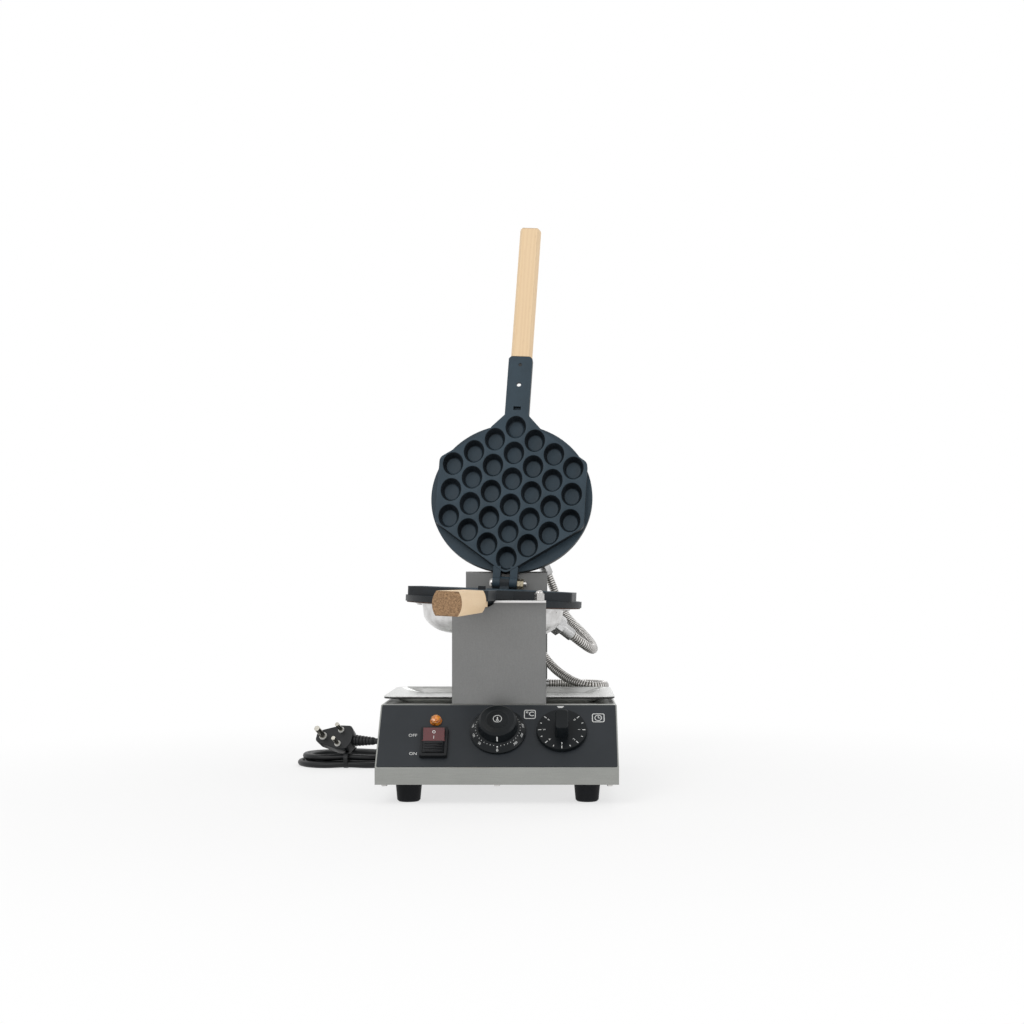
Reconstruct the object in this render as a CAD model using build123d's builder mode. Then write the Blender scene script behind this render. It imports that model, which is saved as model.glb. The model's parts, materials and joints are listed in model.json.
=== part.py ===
"""Egg waffle iron on a sloped-panel electric base: two cast half pans hinged together, turning on a rear spindle.

Millimetres, +Z up, front towards -Y.  Everything is drawn with the base casing centred on X = Y = 0 and the
feet on Z = 0, then saved with the middle of the whole machine, grips and all, over the origin.
"""
from build123d import *
from math import atan2, cos, degrees, hypot, pi, radians, sin, tan
import os

os.makedirs("parts", exist_ok=True)

# ---------------------------------------------------------------- base casing
BASE_W = 250.0
BASE_D = 330.0
MIDDLE_Y = -53.79              # the whole machine's middle, from the casing's
SHEET = 1.0
LIP_H = 17.0
PANEL_RISE = 60.6
PANEL_RUN = 56.0
BEND_R = 1.6
FOOT_H = 20.8
FOOT_TOP_R = 13.9
FOOT_TIP_R = 11.2
FOOT_X = BASE_W / 2 - 32
FOOT_INSET = 31.0
INNER_FLANGE = 14.0
GAP = 0.1                      # flat faces that slide or lift apart
FRONT_Y = -BASE_D / 2
REAR_Y = BASE_D / 2
LIP_TOP = FOOT_H + LIP_H
TOP_Z = LIP_TOP + PANEL_RISE

# ---------------------------------------------------------------- control panel
OVERLAY_T = 0.6
OVERLAY_EDGE = 1.4
SLOPE_LEN = hypot(PANEL_RISE, PANEL_RUN)
SLOPE_TILT = atan2(PANEL_RUN, PANEL_RISE)
PANEL = Plane(
    origin=(0, FRONT_Y + PANEL_RUN / 2, LIP_TOP + PANEL_RISE / 2),
    x_dir=(1, 0, 0),
    z_dir=(0, -cos(SLOPE_TILT), sin(SLOPE_TILT)),
)
LAMP_X, LAMP_V, LAMP_R = -65.5, 18.5, 6.4
SWITCH_X, SWITCH_V = -66.0, -10.5
SWITCH_W, SWITCH_L, BEZEL_H = 29.0, 38.0, 4.5
ROCKER_W, ROCKER_L = 22.0, 29.0
ROCKER_TILT = 12.0
DIAL_V = 4.8
TEMP_X, TEMP_DIAL_R, TEMP_CAP_R, TEMP_CAP_H = 0.0, 29.2, 20.6, 13.5
TIMER_X, TIMER_DIAL_R = 66.5, 26.5
TIMER_GRIP_W, TIMER_GRIP_L, TIMER_GRIP_H = 14.5, 25.0, 19.5
DIAL_GAP = 0.8                 # a dial turns this far above the overlay
SHAFT_R = 3.0
SHAFT_HOLE_R = 4.0

# ---------------------------------------------------------------- uprights
STAND_T = 1.5
STAND_W = 100.0
STAND_FOOT = 18.5
STAND_SPAN = 240.0
FRONT_STAND_Y = FRONT_Y + PANEL_RUN + 4.0
REAR_STAND_Y = FRONT_STAND_Y + STAND_SPAN
REAR_TOP_FLANGE = 12.0
FRONT_TOP_FLANGE = 16.0
HEM_H = 2.8                    # the front flange's edge turns down this far
SADDLE_R = 19.3
STAND_BEND_R = 2.0
STUD_X = STAND_W / 2 - 7
STUD_R = 2.5

# ---------------------------------------------------------------- iron: the two half pans
AXIS_Z = 220.0                 # turning axis, in the plane where the halves meet
REAR_STAND_TOP = AXIS_Z + 21.3
YAW = 4.2                      # the iron lies swung this far in the loose rear bore
ROLL = 2.5                     # and leans this far on its front saddle
OPEN_ANGLE = 105.0
PIVOT_TO_PIN = 20.0            # rear upright's front face to the hinge pin
PIN_RISE = 6.8                 # hinge pin above the meeting plane
PIN_R = 3.0
FACE_GAP = 0.3                 # between the closed faces
PITCH_U, PITCH_S = 24.9, 34.0  # cell spacing across and along
COLUMNS = 7
CENTRE_CELLS = 6
CENTRE_S = 115.0               # hinge pin to the middle of the pan
CELL_RIM = (12.7, 14.8)
CELL_FLOOR = (9.4, 10.6)
CELL_DEPTH = 11.4
CELL_ROUND, CELL_LIP_ROUND = 3.0, 0.9
HEX_HALF_W = 92.0
HEX_MARGIN = 16.0              # outer cell centres to the slanted edges
HEX_T = 10.0
HEX_ROUND = 9.0
DISC_R = (100.0, 96.0)          # across and along: cast a little short along the hinge line
DISC_S = 111.0
GUSSET_W, GUSSET_S = 62.0, (199.0, 216.0)
DISC_T = 6.9
PLATE_T = HEX_T + DISC_T
NECK_W, NECK_T = 30.0, 11.0
NECK_WEB, NECK_WALL = 4.0, 3.0
FRONT_STAND_TOP = AXIS_Z - NECK_T - 0.4
NECK_START, NECK_END, SOCKET_START = 200.0, 295.0, 243.0
KEY_S, KEY_W, KEY_L, KEY_H = 225.0, 8.4, 4.0, 4.0
NECK_HOLE_S, SCREW_S = 257.0, 283.6
LUG_R = 8.0
LUG_GAP = 11.6                 # between the upper half's two lugs
LUG_SPAN = 30.0
LUG_PLAY = 0.3
GASKET_T, GASKET_INSET = 1.2, 1.5
DOME_T = 1.2
DOME_RIM_R, DOME_TOP_R, DOME_DEPTH = 88.0, 80.5, 32.6
SHOULDER_R, SHOULDER_CENTRE_R = 35.5, 47.7
FITTING_DIP = 33.0             # hose fittings point this far below level, square to the shoulder
DOME_SCREWS, DOME_SCREW_R = 6, 84.3
HEATER_R, HEATER_TUBE_R = 62.0, 4.0

# ---------------------------------------------------------------- wooden grips
GRIP_END = 475.0
GRIP_W, GRIP_FLAT, GRIP_T = 27.0, 20.0, 22.5
GRIP_TENON_START = 268.0

# ---------------------------------------------------------------- spindle and pin
SPINDLE_R = 5.0
SPINDLE_BORE_R = 5.5
BOSS_R, BOSS_Y, BOSS_T = 9.5, 10.5, 5.5
SPINDLE_END = 36.0

# ---------------------------------------------------------------- drip tray
TRAY_LIP = 3.4
TRAY_RIM_W, TRAY_RIM_D = BASE_W - 1.2 - 2 * TRAY_LIP, STAND_SPAN - 100.0
TRAY_FLOOR_W, TRAY_FLOOR_D = TRAY_RIM_W - 40, TRAY_RIM_D - 8
TRAY_H, TRAY_T = 7.0, 0.8
TRAY_X, TRAY_Y = -0.6, FRONT_STAND_Y + STAND_FOOT + 1 + TRAY_FLOOR_D / 2

# ---------------------------------------------------------------- hoses and mains lead
HOSE_R = 5.5
FITTING_AF, FITTING_NUT_L = 21.0, 11.0
FERRULE_R, FERRULE_L = 7.2, 17.0
CORD_R = 3.75
HANK_L, HANK_W, HANK_H, HANK_LAY = 132.0, 84.0, 15.0, 22.5
HANK_X, HANK_Y = -BASE_W / 2 - HANK_L / 2 - 5, REAR_Y + 5
TIE_X, TIE_W, TIE_T = HANK_X - 1, 5.0, 1.4
GLAND_X, GLAND_Z = 55 - BASE_W / 2, 50.0


def save(piece, name):
    """Label a finished piece and write it under its own name, with the machine's middle over the origin."""
    placed = piece.part.moved(Location((0, -MIDDLE_Y, 0)))
    placed.label = name
    export_step(placed, f"parts/{name}.step")


def on(frame, plane):
    """A drawing plane given in the axes of a frame."""
    return Plane(frame * plane.location)


def along(frame, start, direction):
    """A plane at a point of a frame, facing a direction of that frame."""
    return on(frame, Plane(origin=start, z_dir=direction))


def cord_path(points):
    """Straight runs joined by the largest arcs that they have room for; prints each radius."""
    pts = [Vector(*p) for p in points]
    radii = []
    for a, b, c in zip(pts, pts[1:], pts[2:]):
        turn = radians((b - a).get_angle(c - b))
        radii.append(0.45 * min((b - a).length, (c - b).length) / tan(turn / 2))
    print("  radii", [round(r, 1) for r in radii])
    return points, radii


def cord_tube(name, points, radius):
    """A cord or hose: one round tube along its route."""
    points, radii = cord_path(points)
    with BuildPart() as tube:
        with BuildLine() as line:
            FilletPolyline(*points, radius=radii)
        with BuildSketch(Plane(origin=line.line @ 0, z_dir=line.line % 0)):
            Circle(radius)
        sweep(path=line.line)
    run = sum(edge.length for edge in line.edges())
    print(f"  {name}: {run:.1f} long, volume ratio {tube.part.volume / (pi * radius**2 * run):.4f}")
    save(tube, name)


# The iron's own frame: origin under the hinge pin on the turning axis, X across, -Y to the grips, Z up.
PIVOT = Location((0, REAR_STAND_Y + STAND_T / 2, AXIS_Z), (0, 0, -YAW)) * Location((0, 0, 0), (0, ROLL, 0))
LOWER = PIVOT * Location((0, -PIVOT_TO_PIN - STAND_T / 2, 0))
# The upper half is the same pan turned over about its length, then swung open on the pin.
UPPER = (
    LOWER
    * Location((0, 0, PIN_RISE))
    * Location((0, 0, 0), (-OPEN_ANGLE, 0, 0))
    * Location((0, 0, FACE_GAP - PIN_RISE), (0, 180, 0))
)

# ================================================================ base
SIDE_PROFILE = [
    (FRONT_Y, FOOT_H),
    (FRONT_Y, LIP_TOP),
    (FRONT_Y + PANEL_RUN, TOP_Z),
    (REAR_Y, TOP_Z),
    (REAR_Y, FOOT_H),
]
STAND_SCREW_R = 2.0
STAND_SCREWS = [(x, y) for y in (FRONT_STAND_Y + 10, REAR_STAND_Y + 12) for x in (-36, 36)]
HOSE_ENTRY = (36.0, REAR_STAND_Y - 13)
HOSE_TAIL_R = 6.0

with BuildPart() as casing:
    with BuildSketch(Plane.YZ.offset(-BASE_W / 2)):
        with BuildLine():
            Polyline(*SIDE_PROFILE, close=True)
        make_face()
    extrude(amount=BASE_W)
    fillet(casing.edges().filter_by(GeomType.LINE).group_by(Axis.Z)[-1], BEND_R)
    offset(amount=-SHEET, openings=casing.faces().sort_by(Axis.Z)[0])
    with BuildSketch(Plane.XY.offset(FOOT_H + SHEET)):
        Rectangle(BASE_W - SHEET, BASE_D - SHEET)
        Rectangle(BASE_W - 2 * INNER_FLANGE, BASE_D - 2 * INNER_FLANGE, mode=Mode.SUBTRACT)
    extrude(amount=SHEET)
    with BuildSketch(PANEL.offset(OVERLAY_T)):
        with Locations((LAMP_X, LAMP_V)):
            Circle(LAMP_R - 1)
        with Locations((SWITCH_X, SWITCH_V)):
            Rectangle(SWITCH_W - 4, SWITCH_L - 4)
        with Locations((TEMP_X, DIAL_V), (TIMER_X, DIAL_V)):
            Circle(SHAFT_HOLE_R)
    extrude(amount=-8 * SHEET, mode=Mode.SUBTRACT)
    with BuildSketch(Plane.XY.offset(TOP_Z + SHEET)):
        with Locations(HOSE_ENTRY):
            Circle(HOSE_TAIL_R + GAP)
        with Locations(*STAND_SCREWS):
            Circle(STAND_SCREW_R + GAP)
    extrude(amount=-3 * SHEET, mode=Mode.SUBTRACT)
    with BuildSketch(Plane.XZ.offset(-REAR_Y - SHEET)):
        with Locations((GLAND_X, GLAND_Z)):
            Circle(CORD_R + 2.4)
        with GridLocations(9, 1, 10, 1):
            with Locations((30, 60)):
                SlotOverall(26, 3.4, rotation=90)
    extrude(amount=3 * SHEET, mode=Mode.SUBTRACT)
save(casing, "casing")

SCREW_HEAD_R, SCREW_HEAD_H, SCREW_SHANK_R = 3.6, 2.2, 1.6
PLATE_SCREW_X, PLATE_SCREW_Y = BASE_W / 2 - 9, BASE_D / 2 - 8
PLATE_SCREWS = [(x, y) for x in (-PLATE_SCREW_X, 0, PLATE_SCREW_X) for y in (-PLATE_SCREW_Y, PLATE_SCREW_Y)]
FEET = {
    "front_left": (-FOOT_X, FRONT_Y + FOOT_INSET),
    "front_right": (FOOT_X, FRONT_Y + FOOT_INSET),
    "rear_left": (-FOOT_X, REAR_Y - FOOT_INSET),
    "rear_right": (FOOT_X, REAR_Y - FOOT_INSET),
}

with BuildPart() as bottom_plate:
    with BuildSketch(Plane.XY.offset(FOOT_H)):
        RectangleRounded(BASE_W - 2 * SHEET - 2 * GAP, BASE_D - 2 * SHEET - 2 * GAP, 2)
        with Locations(*PLATE_SCREWS):
            Circle(SCREW_SHANK_R + GAP, mode=Mode.SUBTRACT)
        with Locations(*FEET.values()):
            Circle(SCREW_SHANK_R + GAP, mode=Mode.SUBTRACT)
        with GridLocations(16, 60, 7, 2):
            SlotOverall(36, 5, rotation=90, mode=Mode.SUBTRACT)
    extrude(amount=SHEET)
save(bottom_plate, "bottom_plate")

with BuildPart() as bottom_screws:
    with BuildSketch(Plane.XY.offset(FOOT_H)):
        with Locations(*PLATE_SCREWS):
            Circle(SCREW_HEAD_R)
    extrude(amount=-SCREW_HEAD_H, taper=18)
    with BuildSketch(Plane.XY.offset(FOOT_H)):
        with Locations(*PLATE_SCREWS):
            Circle(SCREW_SHANK_R)
    extrude(amount=SHEET)
save(bottom_screws, "bottom_screws")

FOOT_BORE_R, FOOT_RECESS_R, FOOT_RECESS_H = 2.2, 6.0, 9.0
for corner, (x, y) in FEET.items():
    with BuildPart() as foot:
        with BuildSketch(Plane(origin=(x, y, 0), x_dir=(1, 0, 0), z_dir=(0, -1, 0))):
            with BuildLine():
                Polyline(
                    (FOOT_BORE_R, FOOT_H), (FOOT_TOP_R, FOOT_H), (FOOT_TIP_R + 0.9, 1.6), (FOOT_TIP_R - 0.6, 0),
                    (FOOT_RECESS_R, 0), (FOOT_RECESS_R, FOOT_RECESS_H), (FOOT_BORE_R, FOOT_RECESS_H), close=True,
                )
            make_face()
        revolve(axis=Axis((x, y, 0), (0, 0, 1)))
    save(foot, f"foot_{corner}")

with BuildPart() as foot_screws:
    with BuildSketch(Plane.XY.offset(FOOT_RECESS_H)):
        with Locations(*FEET.values()):
            Circle(SCREW_HEAD_R + 1)
    extrude(amount=-SCREW_HEAD_H)
    with BuildSketch(Plane.XY.offset(FOOT_RECESS_H)):
        with Locations(*FEET.values()):
            Circle(SCREW_SHANK_R)
    extrude(amount=FOOT_H - FOOT_RECESS_H + SHEET)
save(foot_screws, "foot_screws")

# ---------------------------------------------------------------- front panel and its controls
with BuildPart() as control_panel:
    with BuildSketch(PANEL):
        RectangleRounded(BASE_W - 2 * OVERLAY_EDGE, SLOPE_LEN - 2 * OVERLAY_EDGE, 1.5)
        with Locations((LAMP_X, LAMP_V)):
            Circle(LAMP_R - 1, mode=Mode.SUBTRACT)
        with Locations((SWITCH_X, SWITCH_V)):
            Rectangle(SWITCH_W - 4, SWITCH_L - 4, mode=Mode.SUBTRACT)
        with Locations((TEMP_X, DIAL_V), (TIMER_X, DIAL_V)):
            Circle(SHAFT_HOLE_R, mode=Mode.SUBTRACT)
    extrude(amount=OVERLAY_T)
save(control_panel, "control_panel")

LENS_H = 6.0
with BuildPart() as lamp_lens:
    with BuildSketch(PANEL.offset(OVERLAY_T)):
        with Locations((LAMP_X, LAMP_V)):
            Circle(LAMP_R)
    extrude(amount=LENS_H, taper=16)
    fillet(lamp_lens.edges().sort_by(Axis((0, 0, 0), PANEL.z_dir))[-1], 1.5)
save(lamp_lens, "lamp_lens")

with BuildPart() as lamp_holder:
    with BuildSketch(PANEL.offset(OVERLAY_T)):
        with Locations((LAMP_X, LAMP_V)):
            Circle(LAMP_R - 1 - GAP)
    extrude(amount=-20)
save(lamp_holder, "lamp_holder")

ROCKER_PIVOT_H = BEZEL_H - 1.0
ROCKER_WELL = 6.0
TRUNNION_R, TRUNNION_L = 1.5, 1.2
ROCKER_AT = PANEL.offset(OVERLAY_T + ROCKER_PIVOT_H).from_local_coords((SWITCH_X, SWITCH_V, 0))
ROCKER_SIDE = Plane(origin=ROCKER_AT, x_dir=PANEL.y_dir, z_dir=PANEL.x_dir)
with BuildPart() as switch_housing:
    with BuildSketch(PANEL.offset(OVERLAY_T)):
        with Locations((SWITCH_X, SWITCH_V)):
            RectangleRounded(SWITCH_W, SWITCH_L, 2.5)
    extrude(amount=BEZEL_H, taper=6)
    with BuildSketch(PANEL.offset(OVERLAY_T)):
        with Locations((SWITCH_X, SWITCH_V)):
            Rectangle(SWITCH_W - 4 - 2 * GAP, SWITCH_L - 4 - 2 * GAP)
    extrude(amount=-24)
    with BuildSketch(PANEL.offset(OVERLAY_T + BEZEL_H)):
        with Locations((SWITCH_X, SWITCH_V)):
            Rectangle(ROCKER_W + 0.6, ROCKER_L + 1.8)
    extrude(amount=-BEZEL_H - ROCKER_WELL, mode=Mode.SUBTRACT)
    with BuildSketch(ROCKER_SIDE.offset(-ROCKER_W / 2 - TRUNNION_L - 0.1)):
        Circle(TRUNNION_R + 0.06)
    extrude(amount=ROCKER_W + 2 * TRUNNION_L + 0.2, mode=Mode.SUBTRACT)
save(switch_housing, "switch_housing")

# The rocker rests with its upper half standing proud.
ROCKER_REST = Plane(ROCKER_SIDE.location * Location((0, 0, 0), (0, 0, ROCKER_TILT)))
with BuildPart() as power_rocker:
    with BuildSketch(ROCKER_REST.offset(-ROCKER_W / 2)):
        with BuildLine():
            Polyline(
                (-ROCKER_L / 2 + 2, -3.4), (ROCKER_L / 2 - 2, -3.4), (ROCKER_L / 2, 0), (ROCKER_L / 2 - 0.6, 4.0),
                (0, 1.8), (-ROCKER_L / 2 + 0.6, 4.0), (-ROCKER_L / 2, 0), close=True,
            )
        make_face()
    extrude(amount=ROCKER_W)
    with BuildSketch(ROCKER_REST.offset(-ROCKER_W / 2 - TRUNNION_L)):
        Circle(TRUNNION_R)
    extrude(amount=ROCKER_W + 2 * TRUNNION_L)
save(power_rocker, "power_rocker")

SKIRT_T, SKIRT_EDGE, SKIRT_H = 2.6, 1.6, 8.0
STEM_L = OVERLAY_T + DIAL_GAP + SHEET + 7.0
DIAL_BASE = OVERLAY_T + DIAL_GAP
TEMP_AT = PANEL.from_local_coords((TEMP_X, DIAL_V, DIAL_BASE))
TEMP_SIDE = Plane(origin=TEMP_AT, x_dir=PANEL.x_dir, z_dir=-PANEL.y_dir)
TEMP_AXIS = Axis(TEMP_AT, PANEL.z_dir)
with BuildPart() as temperature_dial:
    with BuildSketch(TEMP_SIDE):
        with BuildLine():
            Polyline(
                (0, -STEM_L), (SHAFT_R, -STEM_L), (SHAFT_R, 0), (TEMP_DIAL_R, 0), (TEMP_DIAL_R, SKIRT_EDGE),
                (TEMP_CAP_R + 0.8, SKIRT_H), (0, SKIRT_H), close=True,
            )
        make_face()
    revolve(axis=TEMP_AXIS)
save(temperature_dial, "temperature_dial")

with BuildPart() as temperature_cap:
    with BuildSketch(TEMP_SIDE):
        with BuildLine():
            Polyline(
                (0, SKIRT_H), (TEMP_CAP_R, SKIRT_H), (TEMP_CAP_R - 0.8, SKIRT_H + TEMP_CAP_H - 3),
                (TEMP_CAP_R - 3.2, SKIRT_H + TEMP_CAP_H - 0.8), (12, SKIRT_H + TEMP_CAP_H),
                (11, SKIRT_H + TEMP_CAP_H - 0.8), (6.4, SKIRT_H + TEMP_CAP_H - 0.8),
                (5.8, SKIRT_H + TEMP_CAP_H - 0.2), (0, SKIRT_H + TEMP_CAP_H - 0.2), close=True,
            )
        make_face()
    revolve(axis=TEMP_AXIS)
save(temperature_cap, "temperature_cap")

with BuildPart() as timer_knob:
    with BuildSketch(PANEL.offset(DIAL_BASE)):
        with Locations((TIMER_X, DIAL_V)):
            Circle(TIMER_DIAL_R)
    extrude(amount=SKIRT_T + 1, taper=10)
    with BuildSketch(PANEL.offset(DIAL_BASE + SKIRT_T)):
        with Locations((TIMER_X, DIAL_V)):
            RectangleRounded(TIMER_GRIP_W, TIMER_GRIP_L, 4)
    extrude(amount=TIMER_GRIP_H, taper=2)
    fillet(timer_knob.faces().sort_by(Axis((0, 0, 0), PANEL.z_dir))[-1].edges(), 1.2)
    with BuildSketch(PANEL.offset(DIAL_BASE)):
        with Locations((TIMER_X, DIAL_V)):
            Circle(SHAFT_R)
    extrude(amount=-STEM_L)
save(timer_knob, "timer_knob")

for name, x, size in (("thermostat_body", TEMP_X, (44, 40, 20)), ("timer_body", TIMER_X, (40, 40, 26))):
    with BuildPart() as control:
        with BuildSketch(PANEL.offset(-SHEET)):
            with Locations((x, DIAL_V)):
                RectangleRounded(size[0], size[1], 3)
        extrude(amount=-size[2])
        with BuildSketch(PANEL.offset(-SHEET)):
            with Locations((x, DIAL_V)):
                Circle(SHAFT_R + 0.05)
        extrude(amount=-7.5, mode=Mode.SUBTRACT)
    save(control, name)

# ================================================================ uprights
AXIS_PLANE = on(PIVOT, Plane(origin=(0, 30, 0), x_dir=(1, 0, 0), z_dir=(0, -1, 0)))
with BuildPart() as front_upright:
    with BuildSketch(Plane.YZ.offset(-STAND_W / 2)):
        with BuildLine():
            Polyline(
                (FRONT_STAND_Y + STAND_FOOT, TOP_Z), (FRONT_STAND_Y + STAND_FOOT, TOP_Z + STAND_T),
                (FRONT_STAND_Y, TOP_Z + STAND_T), (FRONT_STAND_Y, FRONT_STAND_TOP),
                (FRONT_STAND_Y - FRONT_TOP_FLANGE, FRONT_STAND_TOP),
                (FRONT_STAND_Y - FRONT_TOP_FLANGE, FRONT_STAND_TOP - HEM_H),
                (FRONT_STAND_Y - FRONT_TOP_FLANGE + STAND_T, FRONT_STAND_TOP - HEM_H),
                (FRONT_STAND_Y - FRONT_TOP_FLANGE + STAND_T, FRONT_STAND_TOP - STAND_T),
                (FRONT_STAND_Y - STAND_T, FRONT_STAND_TOP - STAND_T), (FRONT_STAND_Y - STAND_T, TOP_Z), close=True,
            )
        make_face()
    extrude(amount=STAND_W)
    fillet(front_upright.edges().filter_by(Axis.X).group_by(Axis.Z)[-1].sort_by(Axis.Y)[-1], STAND_BEND_R)
    fillet(front_upright.edges().filter_by(Axis.X).group_by(Axis.Z)[-1].sort_by(Axis.Y)[0], HEM_H / 2)
    with BuildSketch(Plane.XY.offset(TOP_Z + STAND_T)):
        with Locations(*STAND_SCREWS[:2]):
            Circle(STAND_SCREW_R + GAP)
    extrude(amount=-STAND_T, mode=Mode.SUBTRACT)
    with BuildSketch(Plane.XY.offset(FRONT_STAND_TOP)):
        with Locations((-STUD_X, FRONT_STAND_Y - 9), (STUD_X, FRONT_STAND_Y - 9)):
            Circle(STUD_R + GAP)
    extrude(amount=-STAND_T, mode=Mode.SUBTRACT)
    with BuildSketch(AXIS_PLANE):
        Circle(SADDLE_R)
    extrude(amount=330, mode=Mode.SUBTRACT)
save(front_upright, "front_upright")

with BuildPart() as rear_upright:
    with BuildSketch(Plane.YZ.offset(-STAND_W / 2)):
        with BuildLine():
            Polyline(
                (REAR_STAND_Y, TOP_Z), (REAR_STAND_Y, REAR_STAND_TOP),
                (REAR_STAND_Y + REAR_TOP_FLANGE, REAR_STAND_TOP),
                (REAR_STAND_Y + REAR_TOP_FLANGE, REAR_STAND_TOP - STAND_T),
                (REAR_STAND_Y + STAND_T, REAR_STAND_TOP - STAND_T),
                (REAR_STAND_Y + STAND_T, TOP_Z + STAND_T), (REAR_STAND_Y + STAND_FOOT, TOP_Z + STAND_T),
                (REAR_STAND_Y + STAND_FOOT, TOP_Z), close=True,
            )
        make_face()
    extrude(amount=STAND_W)
    fillet(rear_upright.edges().filter_by(Axis.X).group_by(Axis.Z)[-1].sort_by(Axis.Y)[0], STAND_BEND_R)
    with BuildSketch(Plane.XY.offset(TOP_Z + STAND_T)):
        with Locations(*STAND_SCREWS[2:]):
            Circle(STAND_SCREW_R + GAP)
    extrude(amount=-STAND_T, mode=Mode.SUBTRACT)
    with BuildSketch(AXIS_PLANE):
        Circle(SPINDLE_BORE_R)
    extrude(amount=50, mode=Mode.SUBTRACT)
save(rear_upright, "rear_upright")

with BuildPart() as upright_screws:
    with BuildSketch(Plane.XY.offset(TOP_Z + STAND_T)):
        with Locations(*STAND_SCREWS):
            Circle(SCREW_HEAD_R)
    extrude(amount=SCREW_HEAD_H, taper=18)
    with BuildSketch(Plane.XY.offset(TOP_Z + STAND_T)):
        with Locations(*STAND_SCREWS):
            Circle(STAND_SCREW_R)
    extrude(amount=-STAND_T - SHEET - 4)
save(upright_screws, "upright_screws")

STUD_AT = [(-STUD_X, FRONT_STAND_Y - 9), (STUD_X, FRONT_STAND_Y - 9)]
NUT_AF, NUT_H, CAP_NUT_H = 9.0, 3.4, 7.4
with BuildPart() as stop_studs:
    with BuildSketch(Plane.XY.offset(FRONT_STAND_TOP - STAND_T)):
        with Locations(*STUD_AT):
            Circle(STUD_R)
    extrude(amount=STAND_T + NUT_H + 3)
save(stop_studs, "stop_studs")

with BuildPart() as stop_nuts:
    with BuildSketch(Plane.XY.offset(FRONT_STAND_TOP)):
        with Locations(*STUD_AT):
            RegularPolygon(NUT_AF / 2, 6, major_radius=False)
            Circle(STUD_R + 0.05, mode=Mode.SUBTRACT)
    extrude(amount=NUT_H)
save(stop_nuts, "stop_nuts")

with BuildPart() as stop_cap_nuts:
    with BuildSketch(Plane.XY.offset(FRONT_STAND_TOP + NUT_H)):
        with Locations(*STUD_AT):
            RegularPolygon(NUT_AF / 2, 6, major_radius=False)
    extrude(amount=3.8)
    with BuildSketch(Plane.XY.offset(FRONT_STAND_TOP + NUT_H + 3.6)):
        with Locations(*STUD_AT):
            Circle(4.1)
    extrude(amount=3.8)
    fillet(stop_cap_nuts.edges().group_by(Axis.Z)[-1], 3.2)
    with BuildSketch(Plane.XY.offset(FRONT_STAND_TOP + NUT_H)):
        with Locations(*STUD_AT):
            Circle(STUD_R + 0.05)
    extrude(amount=3.1, mode=Mode.SUBTRACT)
save(stop_cap_nuts, "stop_cap_nuts")

# ================================================================ drip tray
with BuildPart() as drip_tray:
    for inner in (False, True):
        base = TRAY_T if inner else 0
        with BuildSketch(Plane.XY.offset(TOP_Z + GAP + base)):
            with Locations((TRAY_X, TRAY_Y)):
                RectangleRounded(TRAY_FLOOR_W - 2 * base, TRAY_FLOOR_D - 2 * base, 8)
        with BuildSketch(Plane.XY.offset(TOP_Z + GAP + TRAY_H)):
            with Locations((TRAY_X, TRAY_Y)):
                RectangleRounded(TRAY_RIM_W - 2 * base, TRAY_RIM_D - 2 * base, 10)
        loft(mode=Mode.SUBTRACT if inner else Mode.ADD)
    with BuildSketch(Plane.XY.offset(TOP_Z + GAP + TRAY_H - TRAY_T)):
        with Locations((TRAY_X, TRAY_Y)):
            RectangleRounded(TRAY_RIM_W + 2 * TRAY_LIP, TRAY_RIM_D + 2 * TRAY_LIP, 12)
            RectangleRounded(TRAY_RIM_W - 2 * TRAY_T, TRAY_RIM_D - 2 * TRAY_T, 10, mode=Mode.SUBTRACT)
    extrude(amount=TRAY_T)
save(drip_tray, "drip_tray")

# ================================================================ iron halves
with BuildPart() as cell:
    with BuildSketch(Plane.XY):
        Ellipse(*CELL_RIM)
    with BuildSketch(Plane.XY.offset(-CELL_DEPTH)):
        Ellipse(*CELL_FLOOR)
    loft()
    fillet(cell.edges().group_by(Axis.Z)[0], CELL_ROUND)

CELLS = [
    (j * PITCH_U, -CENTRE_S + (k - (n - 1) / 2) * PITCH_S)
    for j in range(-(COLUMNS // 2), COLUMNS // 2 + 1)
    for n in (CENTRE_CELLS - abs(j),)
    for k in range(n)
]
HEX_SLOPE = PITCH_S / 2 / PITCH_U
HEX_TIP = (CENTRE_CELLS - 1) / 2 * PITCH_S + HEX_MARGIN * hypot(1, HEX_SLOPE)
HEX_SIDE = HEX_TIP - HEX_HALF_W * HEX_SLOPE
RIM_HOLE_R = 1.7


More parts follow.
